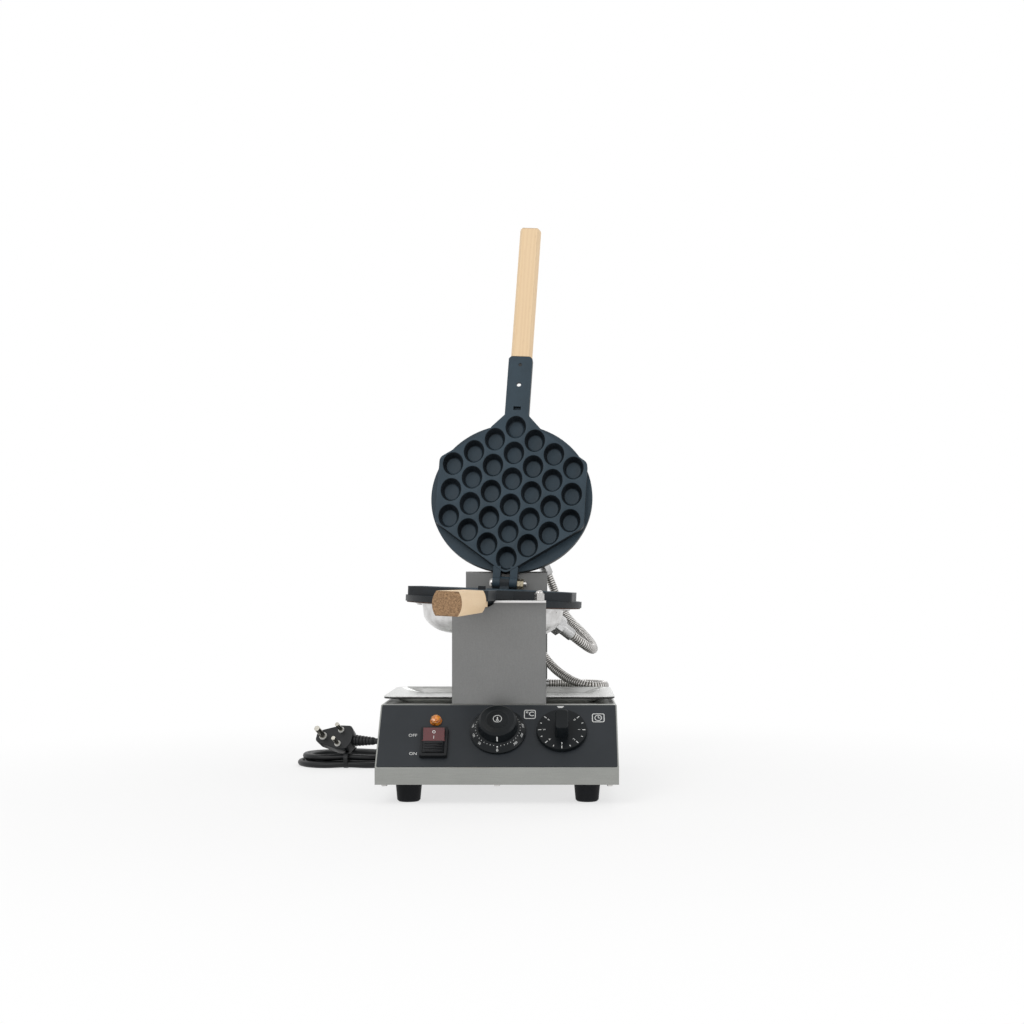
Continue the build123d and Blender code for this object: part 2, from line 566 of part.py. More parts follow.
with BuildPart() as pan:
    with BuildSketch(Plane.XY):
        with Locations((0, -CENTRE_S)):
            Polygon(
                (0, HEX_TIP), (HEX_HALF_W, HEX_SIDE), (HEX_HALF_W, -HEX_SIDE), (0, -HEX_TIP),
                (-HEX_HALF_W, -HEX_SIDE), (-HEX_HALF_W, HEX_SIDE), align=None,
            )
        fillet(vertices(), HEX_ROUND)
    extrude(amount=-HEX_T)
    with BuildSketch(Plane.XY.offset(-HEX_T)):
        with Locations((0, -DISC_S)):
            Ellipse(*DISC_R)
    extrude(amount=-DISC_T)
    with BuildSketch(Plane.XY):
        Polygon(
            (-GUSSET_W / 2, -GUSSET_S[0]), (GUSSET_W / 2, -GUSSET_S[0]), (NECK_W / 2, -GUSSET_S[1]),
            (-NECK_W / 2, -GUSSET_S[1]), align=None,
        )
    extrude(amount=-HEX_T)
    with BuildSketch(Plane.XY):
        with Locations((0, -(NECK_START + NECK_END) / 2)):
            Rectangle(NECK_W, NECK_END - NECK_START)
        chamfer(vertices().group_by(Axis.Y)[0], 3)
    extrude(amount=-NECK_T)
    with BuildSketch(Plane.XY.offset(-NECK_WEB)):
        with Locations((0, -(SOCKET_START + NECK_END + 4) / 2)):
            Rectangle(NECK_W - 2 * NECK_WALL, NECK_END + 4 - SOCKET_START)
    extrude(amount=-NECK_T, mode=Mode.SUBTRACT)
    with BuildSketch(Plane.XY):
        with Locations((0, -NECK_HOLE_S)):
            Circle(2.8)
        with Locations((0, -SCREW_S)):
            Circle(2.2)
    extrude(amount=-NECK_WEB, mode=Mode.SUBTRACT)
    with BuildSketch(Plane.XY.offset(-PLATE_T)):
        with Locations((0, -CENTRE_S)):
            with PolarLocations(DOME_SCREW_R, DOME_SCREWS):
                Circle(RIM_HOLE_R)
    extrude(amount=5, mode=Mode.SUBTRACT)
    with Locations(*CELLS):
        add(cell.part, mode=Mode.SUBTRACT)
    # The cells' mouths are the face's only edges with a curved outline this long.
    mouths = pan.faces().filter_by(Axis.Z).sort_by(Axis.Z)[-1].inner_wires().filter_by(lambda w: w.length > 70)
    fillet(mouths.edges(), CELL_LIP_ROUND)

LOWER_LUG = [
    (-20, -12), (-20, -0.4), (-11, -0.4), (-8, 3), (-8, PIN_RISE), (8, PIN_RISE), (BOSS_Y + 1, 5), (BOSS_Y + 1, -8),
    (-6, -12),
]
with BuildPart() as lower_plate:
    add(pan.part.moved(LOWER))
    with BuildSketch(on(LOWER, Plane.YZ.offset(-LUG_GAP / 2 + LUG_PLAY))):
        with BuildLine():
            Polyline(*LOWER_LUG, close=True)
        make_face()
        with Locations((0, PIN_RISE)):
            Circle(LUG_R)
    extrude(amount=LUG_GAP - 2 * LUG_PLAY)
    with BuildSketch(along(LOWER, (0, BOSS_Y, 0), (0, 1, 0))):
        Circle(BOSS_R)
    extrude(amount=BOSS_T)
    with BuildSketch(along(LOWER, (0, BOSS_Y, 0), (0, 1, 0))):
        Circle(SPINDLE_R + 0.05)
    extrude(amount=BOSS_T, mode=Mode.SUBTRACT)
    with BuildSketch(along(LOWER, (-LUG_SPAN, 0, PIN_RISE), (1, 0, 0))):
        Circle(PIN_R + 0.05)
    extrude(amount=2 * LUG_SPAN, mode=Mode.SUBTRACT)
    with BuildSketch(on(LOWER, Plane.XY)):
        with Locations((0, -KEY_S)):
            Rectangle(KEY_W, KEY_L)
    extrude(amount=KEY_H, taper=4)
save(lower_plate, "lower_plate")

UPPER_PIN = FACE_GAP - PIN_RISE
with BuildPart() as upper_plate:
    add(pan.part.moved(UPPER))
    for x in (-LUG_SPAN / 2, LUG_GAP / 2):
        with BuildSketch(on(UPPER, Plane.YZ.offset(x))):
            with BuildLine():
                Polyline(
                    (-20, -15), (-20, -0.4), (-11, -0.4), (-5.66, UPPER_PIN + 5.66), (0, UPPER_PIN),
                    (0, UPPER_PIN - LUG_R), close=True,
                )
            make_face()
            with Locations((0, UPPER_PIN)):
                Circle(LUG_R)
        extrude(amount=(LUG_SPAN - LUG_GAP) / 2)
    with BuildSketch(along(UPPER, (-LUG_SPAN, 0, UPPER_PIN), (1, 0, 0))):
        Circle(PIN_R + 0.05)
    extrude(amount=2 * LUG_SPAN, mode=Mode.SUBTRACT)
    with BuildSketch(on(UPPER, Plane.XY)):
        with Locations((0, -KEY_S)):
            Rectangle(KEY_W + 0.8, KEY_L + 0.8)
    extrude(amount=-KEY_H - 0.6, mode=Mode.SUBTRACT)
save(upper_plate, "upper_plate")

# Pieces that both halves carry, drawn once in the iron's own axes.
RIM_Z = -PLATE_T - GASKET_T
SHOULDER_Z = RIM_Z - DOME_DEPTH + SHOULDER_R
DIP = radians(FITTING_DIP)
with BuildPart() as gasket:
    with BuildSketch(Plane.XY.offset(-PLATE_T)):
        with Locations((0, -DISC_S)):
            Ellipse(DISC_R[0] - GASKET_INSET, DISC_R[1] - GASKET_INSET)
        with Locations((0, -CENTRE_S)):
            Circle(DOME_TOP_R - 4, mode=Mode.SUBTRACT)
            with PolarLocations(DOME_SCREW_R, DOME_SCREWS):
                Circle(RIM_HOLE_R, mode=Mode.SUBTRACT)
    extrude(amount=-GASKET_T)

with BuildPart() as heater:
    with BuildSketch(Plane(origin=(0, -CENTRE_S, 0), x_dir=(1, 0, 0), z_dir=(0, -1, 0))):
        with Locations((HEATER_R, -PLATE_T - HEATER_TUBE_R)):
            Circle(HEATER_TUBE_R)
    revolve(axis=Axis((0, -CENTRE_S, 0), (0, 0, 1)), revolution_arc=320)

with BuildPart() as bowl:
    with BuildSketch(Plane(origin=(0, -CENTRE_S, 0), x_dir=(1, 0, 0), z_dir=(0, -1, 0))):
        with BuildLine():
            shoulder_start = (SHOULDER_CENTRE_R + SHOULDER_R * cos(DIP), SHOULDER_Z - SHOULDER_R * sin(DIP))
            Polyline((0, RIM_Z), (DOME_TOP_R, RIM_Z), shoulder_start)
            CenterArc((SHOULDER_CENTRE_R, SHOULDER_Z), SHOULDER_R, -FITTING_DIP, FITTING_DIP - 90)
            Polyline((SHOULDER_CENTRE_R, RIM_Z - DOME_DEPTH), (0, RIM_Z - DOME_DEPTH), (0, RIM_Z))
        make_face()
    revolve(axis=Axis((0, -CENTRE_S, 0), (0, 0, 1)))
    offset(amount=-DOME_T, openings=bowl.faces().sort_by(Axis.Z)[-1])
    with BuildSketch(Plane.XY.offset(RIM_Z)):
        with Locations((0, -CENTRE_S)):
            Circle(DOME_RIM_R)
            Circle(DOME_TOP_R - DOME_T, mode=Mode.SUBTRACT)
    extrude(amount=-DOME_T)
    with BuildSketch(Plane.XY.offset(RIM_Z)):
        with Locations((0, -CENTRE_S)):
            with PolarLocations(DOME_SCREW_R, DOME_SCREWS):
                Circle(RIM_HOLE_R)
    extrude(amount=-DOME_T, mode=Mode.SUBTRACT)
    with BuildSketch(Plane.XY.offset(RIM_Z - DOME_DEPTH)):
        with Locations((0, -CENTRE_S)):
            with PolarLocations(60, 10, start_angle=18):
                SlotOverall(11, 2.6, rotation=90)
    extrude(amount=12, mode=Mode.SUBTRACT)

with BuildPart() as rim_screws:
    with BuildSketch(Plane.XY.offset(RIM_Z - DOME_T)):
        with Locations((0, -CENTRE_S)):
            with PolarLocations(DOME_SCREW_R, DOME_SCREWS):
                Circle(3.2)
    extrude(amount=-2, taper=18)
    with BuildSketch(Plane.XY.offset(RIM_Z - DOME_T)):
        with Locations((0, -CENTRE_S)):
            with PolarLocations(DOME_SCREW_R, DOME_SCREWS):
                Circle(RIM_HOLE_R - GAP)
    extrude(amount=5.5)

GRIP_SECTION = Plane(origin=(0, -NECK_END - 0.2, -GRIP_T / 2), x_dir=(1, 0, 0), z_dir=(0, -1, 0))
with BuildPart() as grip:
    with BuildSketch(GRIP_SECTION):
        with BuildLine():
            Line((-GRIP_FLAT / 2, GRIP_T / 2), (GRIP_FLAT / 2, GRIP_T / 2))
            ThreePointArc((GRIP_FLAT / 2, GRIP_T / 2), (GRIP_W / 2, 0), (GRIP_FLAT / 2, -GRIP_T / 2))
            Line((GRIP_FLAT / 2, -GRIP_T / 2), (-GRIP_FLAT / 2, -GRIP_T / 2))
            ThreePointArc((-GRIP_FLAT / 2, -GRIP_T / 2), (-GRIP_W / 2, 0), (-GRIP_FLAT / 2, GRIP_T / 2))
        make_face()
    extrude(amount=GRIP_END - NECK_END - 0.2)
    chamfer(grip.faces().sort_by(Axis.Y)[0].edges(), 0.9)
    with BuildSketch(Plane.XY.offset(-NECK_WEB)):
        with Locations((0, -(GRIP_TENON_START + NECK_END + 0.2) / 2)):
            Rectangle(NECK_W - 2 * NECK_WALL - 0.4, NECK_END + 0.2 - GRIP_TENON_START)
    extrude(amount=-13)
    with BuildSketch(Plane.XY.offset(-NECK_WEB)):
        with Locations((0, -SCREW_S)):
            Circle(1.95)
    extrude(amount=-11, mode=Mode.SUBTRACT)

with BuildPart() as grip_screw:
    with BuildSketch(Plane.XY.offset(-0.4)):
        with Locations((0, -SCREW_S)):
            Circle(2.05)
    extrude(amount=-NECK_WEB + 0.4)
    with BuildSketch(Plane.XY.offset(-NECK_WEB)):
        with Locations((0, -SCREW_S)):
            Circle(1.9)
    extrude(amount=-10.5)


def shoulder_frame(azimuth):
    """The frame of a hose fitting on a dome's shoulder; +Z points out along the fitting."""
    turn = Location((0, -CENTRE_S, 0), (0, 0, azimuth))
    seat = (SHOULDER_CENTRE_R + SHOULDER_R * cos(DIP), 0, SHOULDER_Z - SHOULDER_R * sin(DIP))
    return turn * Location(seat) * Location((0, 0, 0), (0, 90 + FITTING_DIP, 0))


FITTINGS = {
    "lower": {"lid_hose": shoulder_frame(30), "base_hose": shoulder_frame(70)},
    "upper": {"lid_hose": shoulder_frame(180 - 62)},
}
FITTING_BORE_R = 4.6
HOSE_LEG = 20.0                # straight run out of a ferrule
HOSE_ENDS = {}
for half, frame in (("lower", LOWER), ("upper", UPPER)):
    for name, piece in (
        ("gasket", gasket), ("heater", heater), ("dome_screws", rim_screws), ("handle", grip),
        ("handle_screw", grip_screw),
    ):
        with BuildPart() as placed:
            add(piece.part.moved(frame))
        save(placed, f"{half}_{name}")
    with BuildPart() as dome:
        add(bowl.part.moved(frame))
        for seat in FITTINGS[half].values():
            with BuildSketch(Plane(frame * seat).offset(3)):
                Circle(FITTING_BORE_R + GAP)
            extrude(amount=-8, mode=Mode.SUBTRACT)
    save(dome, f"{half}_dome")
    for hose, seat in FITTINGS[half].items():
        at = Plane(frame * seat)
        with BuildPart() as fitting:
            with BuildSketch(at.offset(0.05)):
                RegularPolygon(FITTING_AF / 2, 6, major_radius=False)
            extrude(amount=FITTING_NUT_L)
            with BuildSketch(at.offset(-6)):
                Circle(FITTING_BORE_R)
            extrude(amount=6.05)
            with BuildSketch(at.offset(FITTING_NUT_L)):
                Circle(FERRULE_R)
            extrude(amount=FERRULE_L)
        save(fitting, f"{half}_{hose}_fitting")
        out = FITTING_NUT_L + FERRULE_L
        HOSE_ENDS[half, hose] = [tuple(at.offset(out).origin), tuple(at.offset(out + HOSE_LEG).origin)]
        print(f"  {half} {hose} leaves along {HOSE_ENDS[half, hose]}")

# ---------------------------------------------------------------- spindle and hinge pin
SPINDLE_AT = along(LOWER, (0, BOSS_Y, 0), (0, 1, 0))
WASHER_Y = PIVOT_TO_PIN + STAND_T + 1.0
with BuildPart() as spindle:
    with BuildSketch(SPINDLE_AT):
        Circle(SPINDLE_R)
    extrude(amount=SPINDLE_END - BOSS_Y)
    chamfer(spindle.edges().sort_by(Axis.Y)[-1], 0.8)
save(spindle, "spindle")

with BuildPart() as spindle_washer:
    with BuildSketch(along(LOWER, (0, WASHER_Y, 0), (0, 1, 0))):
        Circle(10)
        Circle(SPINDLE_R + 0.05, mode=Mode.SUBTRACT)
    extrude(amount=1.2)
save(spindle_washer, "spindle_washer")

with BuildPart() as spindle_nut:
    with BuildSketch(along(LOWER, (0, WASHER_Y + 1.2, 0), (0, 1, 0))):
        RegularPolygon(8, 6, major_radius=False)
        Circle(SPINDLE_R + 0.05, mode=Mode.SUBTRACT)
    extrude(amount=8)
save(spindle_nut, "spindle_nut")

PIN_LEFT = -LUG_SPAN / 2 - 0.2
PIN_RIGHT = LUG_SPAN / 2 + 0.2
with BuildPart() as hinge_bolt:
    with BuildSketch(along(LOWER, (PIN_LEFT, 0, PIN_RISE), (1, 0, 0))):
        Circle(PIN_R)
    extrude(amount=PIN_RIGHT - PIN_LEFT + 11)
    with BuildSketch(along(LOWER, (PIN_LEFT, 0, PIN_RISE), (-1, 0, 0))):
        Circle(5.2)
    extrude(amount=3.8)
    fillet(hinge_bolt.edges().sort_by(Axis.X)[0], 3)
save(hinge_bolt, "hinge_bolt")

with BuildPart() as hinge_nuts:
    for x in (PIN_RIGHT, PIN_RIGHT + 3.9):
        with BuildSketch(along(LOWER, (x, 0, PIN_RISE), (1, 0, 0))):
            RegularPolygon(5, 6, major_radius=False)
            Circle(PIN_R + 0.05, mode=Mode.SUBTRACT)
        extrude(amount=3.4)
save(hinge_nuts, "hinge_nuts")

# ================================================================ hoses
ELBOW_Z = TOP_Z + HOSE_R + 0.6
with BuildPart() as base_hose_elbow:
    with BuildSketch(Plane.XY.offset(TOP_Z)):
        with Locations(HOSE_ENTRY):
            Circle(9)
    extrude(amount=13.5)
    fillet(base_hose_elbow.edges().group_by(Axis.Z)[-1], 3)
    with BuildSketch(Plane(origin=(*HOSE_ENTRY, ELBOW_Z), z_dir=(1, 0.12, 0))):
        Circle(HOSE_R + 0.5)
    extrude(amount=16)
    with BuildSketch(Plane.XY.offset(TOP_Z)):
        with Locations(HOSE_ENTRY):
            Circle(HOSE_TAIL_R)
    extrude(amount=-8)
save(base_hose_elbow, "base_hose_elbow")
ELBOW_END = (HOSE_ENTRY[0] + 16 * cos(atan2(0.12, 1)), HOSE_ENTRY[1] + 16 * sin(atan2(0.12, 1)), ELBOW_Z)

SIDE = BASE_W / 2
LID_HOSE_ROUTE = [
    *HOSE_ENDS["lower", "lid_hose"],
    (SIDE - 19, REAR_STAND_Y - 65, AXIS_Z - 71.5),
    (SIDE - 13, REAR_STAND_Y - 43, AXIS_Z - 72),
    (SIDE - 16, REAR_STAND_Y - 21, AXIS_Z - 65),
    (SIDE - 28, REAR_STAND_Y - 1, AXIS_Z - 54),
    (SIDE - 43, REAR_STAND_Y + 15, AXIS_Z - 40),
    (SIDE - 55, REAR_STAND_Y + 27, AXIS_Z - 23),
    *reversed(HOSE_ENDS["upper", "lid_hose"]),
]
cord_tube("lid_hose", LID_HOSE_ROUTE, HOSE_R)
BASE_HOSE_ROUTE = [
    *HOSE_ENDS["lower", "base_hose"],
    (SIDE - 82, REAR_STAND_Y - 20, TOP_Z + 41.6),
    (SIDE - 69, REAR_STAND_Y - 31, TOP_Z + 27.6),
    (SIDE - 54, REAR_STAND_Y - 47, TOP_Z + 16.6),
    (SIDE - 38, REAR_STAND_Y - 62, TOP_Z + 9.1),
    (SIDE - 21, REAR_STAND_Y - 69, TOP_Z + 6.6),
    (SIDE - 7, REAR_STAND_Y - 58, ELBOW_Z),
    (SIDE - 6, REAR_STAND_Y - 38, ELBOW_Z),
    (SIDE - 15, REAR_STAND_Y - 20, ELBOW_Z),
    (SIDE - 33, REAR_STAND_Y - 9, ELBOW_Z),
    ELBOW_END,
]
cord_tube("base_hose", BASE_HOSE_ROUTE, HOSE_R)

# ================================================================ mains lead
with BuildPart() as cord_gland:
    with BuildSketch(Plane.XZ.offset(-REAR_Y)):
        with Locations((GLAND_X, GLAND_Z)):
            Circle(8)
            Circle(CORD_R + 0.05, mode=Mode.SUBTRACT)
    extrude(amount=-14, taper=8)
    with BuildSketch(Plane.XZ.offset(-REAR_Y)):
        with Locations((GLAND_X, GLAND_Z)):
            Circle(CORD_R + 2.3)
            Circle(CORD_R + 0.05, mode=Mode.SUBTRACT)
    extrude(amount=6)
save(cord_gland, "cord_gland")

LAID_Z = CORD_R + 0.4
FOLD_X = HANK_X + (HANK_L - HANK_W) / 2 + HANK_W / 2 - CORD_R
MAINS_ROUTE = [
    (GLAND_X, REAR_Y, GLAND_Z),
    (GLAND_X, REAR_Y + 28, GLAND_Z),
    (GLAND_X, REAR_Y + 51, 45),
    (GLAND_X, REAR_Y + 74, 33),
    (GLAND_X - 9, REAR_Y + 88, 22),
    (GLAND_X - 23, REAR_Y + 97, 12.5),
    (GLAND_X - 41, REAR_Y + 97, 6.5),
    (GLAND_X - 55, REAR_Y + 88, LAID_Z),
    (GLAND_X - 63.6, REAR_Y + 74, LAID_Z),
    (GLAND_X - 64, REAR_Y + 50, LAID_Z),
    (FOLD_X, HANK_Y + 18, LAID_Z),
]
cord_tube("mains_cord", MAINS_ROUTE, CORD_R)

with BuildPart() as cord_hank:
    with BuildSketch(Plane.XY):
        with Locations((HANK_X, HANK_Y)):
            RectangleRounded(HANK_L, HANK_W, HANK_W / 2 - 0.5)
            RectangleRounded(HANK_L - 2 * HANK_LAY, HANK_W - 2 * HANK_LAY, HANK_W / 2 - HANK_LAY - 0.5, mode=Mode.SUBTRACT)
    extrude(amount=HANK_H)
    fillet(cord_hank.faces().filter_by(Axis.Z).edges(), CORD_R)
    with BuildSketch(Plane.YZ.offset(TIE_X - TIE_W / 2)):
        with Locations((HANK_Y, HANK_H / 2)):
            Rectangle(HANK_W + 2, HANK_H + 2)
            RectangleRounded(HANK_W - 2 * TIE_T, HANK_H - 2 * TIE_T, 4, mode=Mode.SUBTRACT)
    extrude(amount=TIE_W, mode=Mode.SUBTRACT)
save(cord_hank, "cord_hank")

with BuildPart() as cord_tie:
    with BuildSketch(Plane.YZ.offset(TIE_X - TIE_W / 2)):
        with Locations((HANK_Y, HANK_H / 2)):
            RectangleRounded(HANK_W, HANK_H, 5)
            RectangleRounded(HANK_W - 2 * TIE_T, HANK_H - 2 * TIE_T, 4, mode=Mode.SUBTRACT)
    extrude(amount=TIE_W)
save(cord_tie, "cord_tie")

PLUG = Plane(origin=(HANK_X - 17, REAR_Y - 19, 37.5), x_dir=(0.954, -0.298, 0), z_dir=(-0.25, -0.8, 0.55))
PLUG_T = 18.0
with BuildPart() as plug_body:
    with BuildSketch(PLUG):
        Polygon((-25, -7), (-25, 7), (4, 16), (19, 16), (24, 7), (24, -7), (19, -16), (4, -16), align=None)
        fillet(vertices(), 6)
    extrude(amount=-PLUG_T, taper=4)
    fillet(plug_body.faces().sort_by(Axis((0, 0, 0), PLUG.z_dir))[0].edges(), 3)
    fillet(plug_body.faces().sort_by(Axis((0, 0, 0), PLUG.z_dir))[-1].edges(), 1)
    with BuildSketch(Plane(origin=PLUG.from_local_coords((21, 0, -PLUG_T / 2)), z_dir=PLUG.x_dir)):
        Circle(6)
    extrude(amount=30, taper=4)
save(plug_body, "plug_body")

with BuildPart() as plug_pins:
    with BuildSketch(PLUG):
        with Locations((-15.5, 0)):
            Circle(3.5)
    extrude(amount=20.6)
    with BuildSketch(PLUG):
        with Locations((6.7, 9.5), (6.7, -9.5)):
            Circle(2.55)
    extrude(amount=14.9)
save(plug_pins, "plug_pins")

LEAD_START = tuple(PLUG.from_local_coords((51, 0, -PLUG_T / 2)))
LEAD_BEND = tuple(PLUG.from_local_coords((63, 0, -PLUG_T / 2)))
print("  plug lead starts along", LEAD_START, LEAD_BEND)
cord_tube(
    "plug_lead",
    [
        LEAD_START, LEAD_BEND, (FOLD_X - 4, REAR_Y - 28, 30.5), (FOLD_X + 2, REAR_Y - 17, 24.5),
        (FOLD_X, REAR_Y - 1, HANK_H),
    ],
    CORD_R - 0.2,
)
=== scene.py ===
# %% [markdown]
# # Dressing an egg waffle iron in Blender
# The real machine is two cast pans on a hinge, turning over a folded steel
# base. Its solids arrive as a fixed frame, in metres, and every piece made
# below is placed in that same frame. The first cell loads it.
# %% Load the imported machine
import json
import math

import bmesh
import bpy
from mathutils import Matrix, Vector
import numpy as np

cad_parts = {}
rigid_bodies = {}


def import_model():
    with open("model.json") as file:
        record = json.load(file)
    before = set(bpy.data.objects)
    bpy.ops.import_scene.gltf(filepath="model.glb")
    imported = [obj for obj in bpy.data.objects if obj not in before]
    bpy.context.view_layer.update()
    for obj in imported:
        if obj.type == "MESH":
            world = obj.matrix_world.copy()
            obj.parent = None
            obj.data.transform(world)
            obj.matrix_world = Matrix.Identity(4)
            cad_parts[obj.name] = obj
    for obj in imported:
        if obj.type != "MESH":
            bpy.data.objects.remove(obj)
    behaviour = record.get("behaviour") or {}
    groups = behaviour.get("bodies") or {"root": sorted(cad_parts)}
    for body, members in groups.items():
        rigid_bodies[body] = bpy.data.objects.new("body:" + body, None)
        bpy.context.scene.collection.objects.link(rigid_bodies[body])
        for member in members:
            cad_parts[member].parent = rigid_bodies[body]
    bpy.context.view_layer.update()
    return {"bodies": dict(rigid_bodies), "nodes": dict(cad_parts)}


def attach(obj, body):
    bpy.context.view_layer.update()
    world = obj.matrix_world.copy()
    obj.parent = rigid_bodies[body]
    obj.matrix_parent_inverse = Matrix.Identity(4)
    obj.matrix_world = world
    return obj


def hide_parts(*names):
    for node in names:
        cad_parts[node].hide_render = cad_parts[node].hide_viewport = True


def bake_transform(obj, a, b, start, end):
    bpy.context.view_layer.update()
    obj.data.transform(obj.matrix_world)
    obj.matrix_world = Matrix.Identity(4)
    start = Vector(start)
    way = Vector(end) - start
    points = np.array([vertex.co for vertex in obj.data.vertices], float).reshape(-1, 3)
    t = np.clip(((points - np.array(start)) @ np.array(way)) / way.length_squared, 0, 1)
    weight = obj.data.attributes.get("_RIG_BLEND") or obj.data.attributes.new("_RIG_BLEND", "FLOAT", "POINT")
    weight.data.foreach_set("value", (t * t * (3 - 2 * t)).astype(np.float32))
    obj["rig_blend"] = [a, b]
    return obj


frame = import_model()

MM = 0.001

# %% [markdown]
# # Frames
# Each part of the machine is easiest to draw in its own axes: the control
# panel slopes, and the iron lies turned a little in its bearing with the lid
# swung up. A 4x4 matrix for each lets a mark or a grain pattern be written in
# plain local measures and then laid where it belongs.
# %% Frames for the panel and the two pans
BASE_SHIFT = 53.79  # the casing's middle from the whole machine's, towards the back


def at(x, y, z):
    """A point given in millimetres from the casing's middle, in metres."""
    return Vector((x, y + BASE_SHIFT, z)) * MM


def shift(x, y, z=0.0):
    """A move given in millimetres."""
    return Matrix.Translation((x * MM, y * MM, z * MM))


def turn(degrees, axis):
    return Matrix.Rotation(math.radians(degrees), 4, axis)


def axes(x, y, z, origin):
    """The frame that has three unit vectors as its axes."""
    return Matrix((
        (x.x, y.x, z.x, origin.x), (x.y, y.y, z.y, origin.y), (x.z, y.z, z.z, origin.z),
        (0, 0, 0, 1),
    ))


PANEL_RISE, PANEL_RUN = 60.6, 56.0
panel_up = Vector((0, PANEL_RUN, PANEL_RISE)).normalized()
panel_out = Vector((0, -PANEL_RISE, PANEL_RUN)).normalized()
PANEL = axes(Vector((1, 0, 0)), panel_up, panel_out, at(0, -137, 68.1))

LID_OPEN = 105  # degrees
PAN_AHEAD, PIN_ABOVE, LID_BELOW = 20.75, 6.8, 6.5  # of the bearing, the lower face, the pin
LOWER_PAN = (
    Matrix.Translation(at(0, 135.75, 220)) @ turn(-4.2, "Z") @ turn(2.5, "Y")
    @ shift(0, -PAN_AHEAD)
)
UPPER_PAN = (
    LOWER_PAN @ shift(0, 0, PIN_ABOVE) @ turn(-LID_OPEN, "X") @ shift(0, 0, -LID_BELOW)
    @ turn(180, "Y")
)
PAN_MIDDLE = shift(0, -115)


def on_panel(x, v, lift=0.0):
    """A place on the sloped panel: millimetres across and up the slope from its middle."""
    return PANEL @ shift(x, v, lift)


print("lid faces", UPPER_PAN.to_3x3().col[2][:])

# %% [markdown]
# # Camera
# The machine is seen from the front at about the height of its pans, so the
# uprights stay vertical. A shifted lens, as an architect's camera has, keeps
# them parallel while the machine sits low in the picture.
# %% Camera
def linked(name, data):
    """A new object in the scene."""
    made = bpy.data.objects.new(name, data)
    bpy.context.scene.collection.objects.link(made)
    return made


camera_lens = bpy.data.cameras.new("front_camera")
camera_lens.lens, camera_lens.sensor_width = 51.22, 36
camera_lens.shift_x, camera_lens.shift_y = -0.042, 0.0693
camera_lens.clip_start, camera_lens.clip_end = 0.05, 60
camera = linked("front_camera", camera_lens)
camera.location = (0.0595, -1.6012, 0.2272)
camera.rotation_euler = (math.radians(90), 0, 0)
bpy.context.scene.camera = camera
bpy.context.scene.view_settings.view_transform = "Standard"

# %% [markdown]
# # Writing a finish as a sum
# A finish is a small graph of shader nodes. Two short classes make that graph
# readable: one holds the material and adds nodes, the other stands for a
# node's output and takes part in ordinary sums, so that a mask can be written
# as `bands * 0.55 + bend * 0.45`.
# %% Two classes for finishes
class Value:
    """The output of a shader node. Each sign used on it adds one Math node."""

    def __init__(self, finish, socket):
        self.finish, self.socket = finish, socket

    def maths(self, operation, *terms, clamp=False):
        settings = {"operation": operation, "use_clamp": clamp}
        return self.finish.node("ShaderNodeMath", settings, dict(enumerate(terms)))

    def __add__(self, other):
        return self.maths("ADD", self, other)

    def __sub__(self, other):
        return self.maths("SUBTRACT", self, other)

    def __mul__(self, other):
        return self.maths("MULTIPLY", self, other)

    def __abs__(self):
        return self.maths("ABSOLUTE", self)

    def held(self):
        """The value kept between 0 and 1."""
        return self.maths("ADD", self, 0.0, clamp=True)


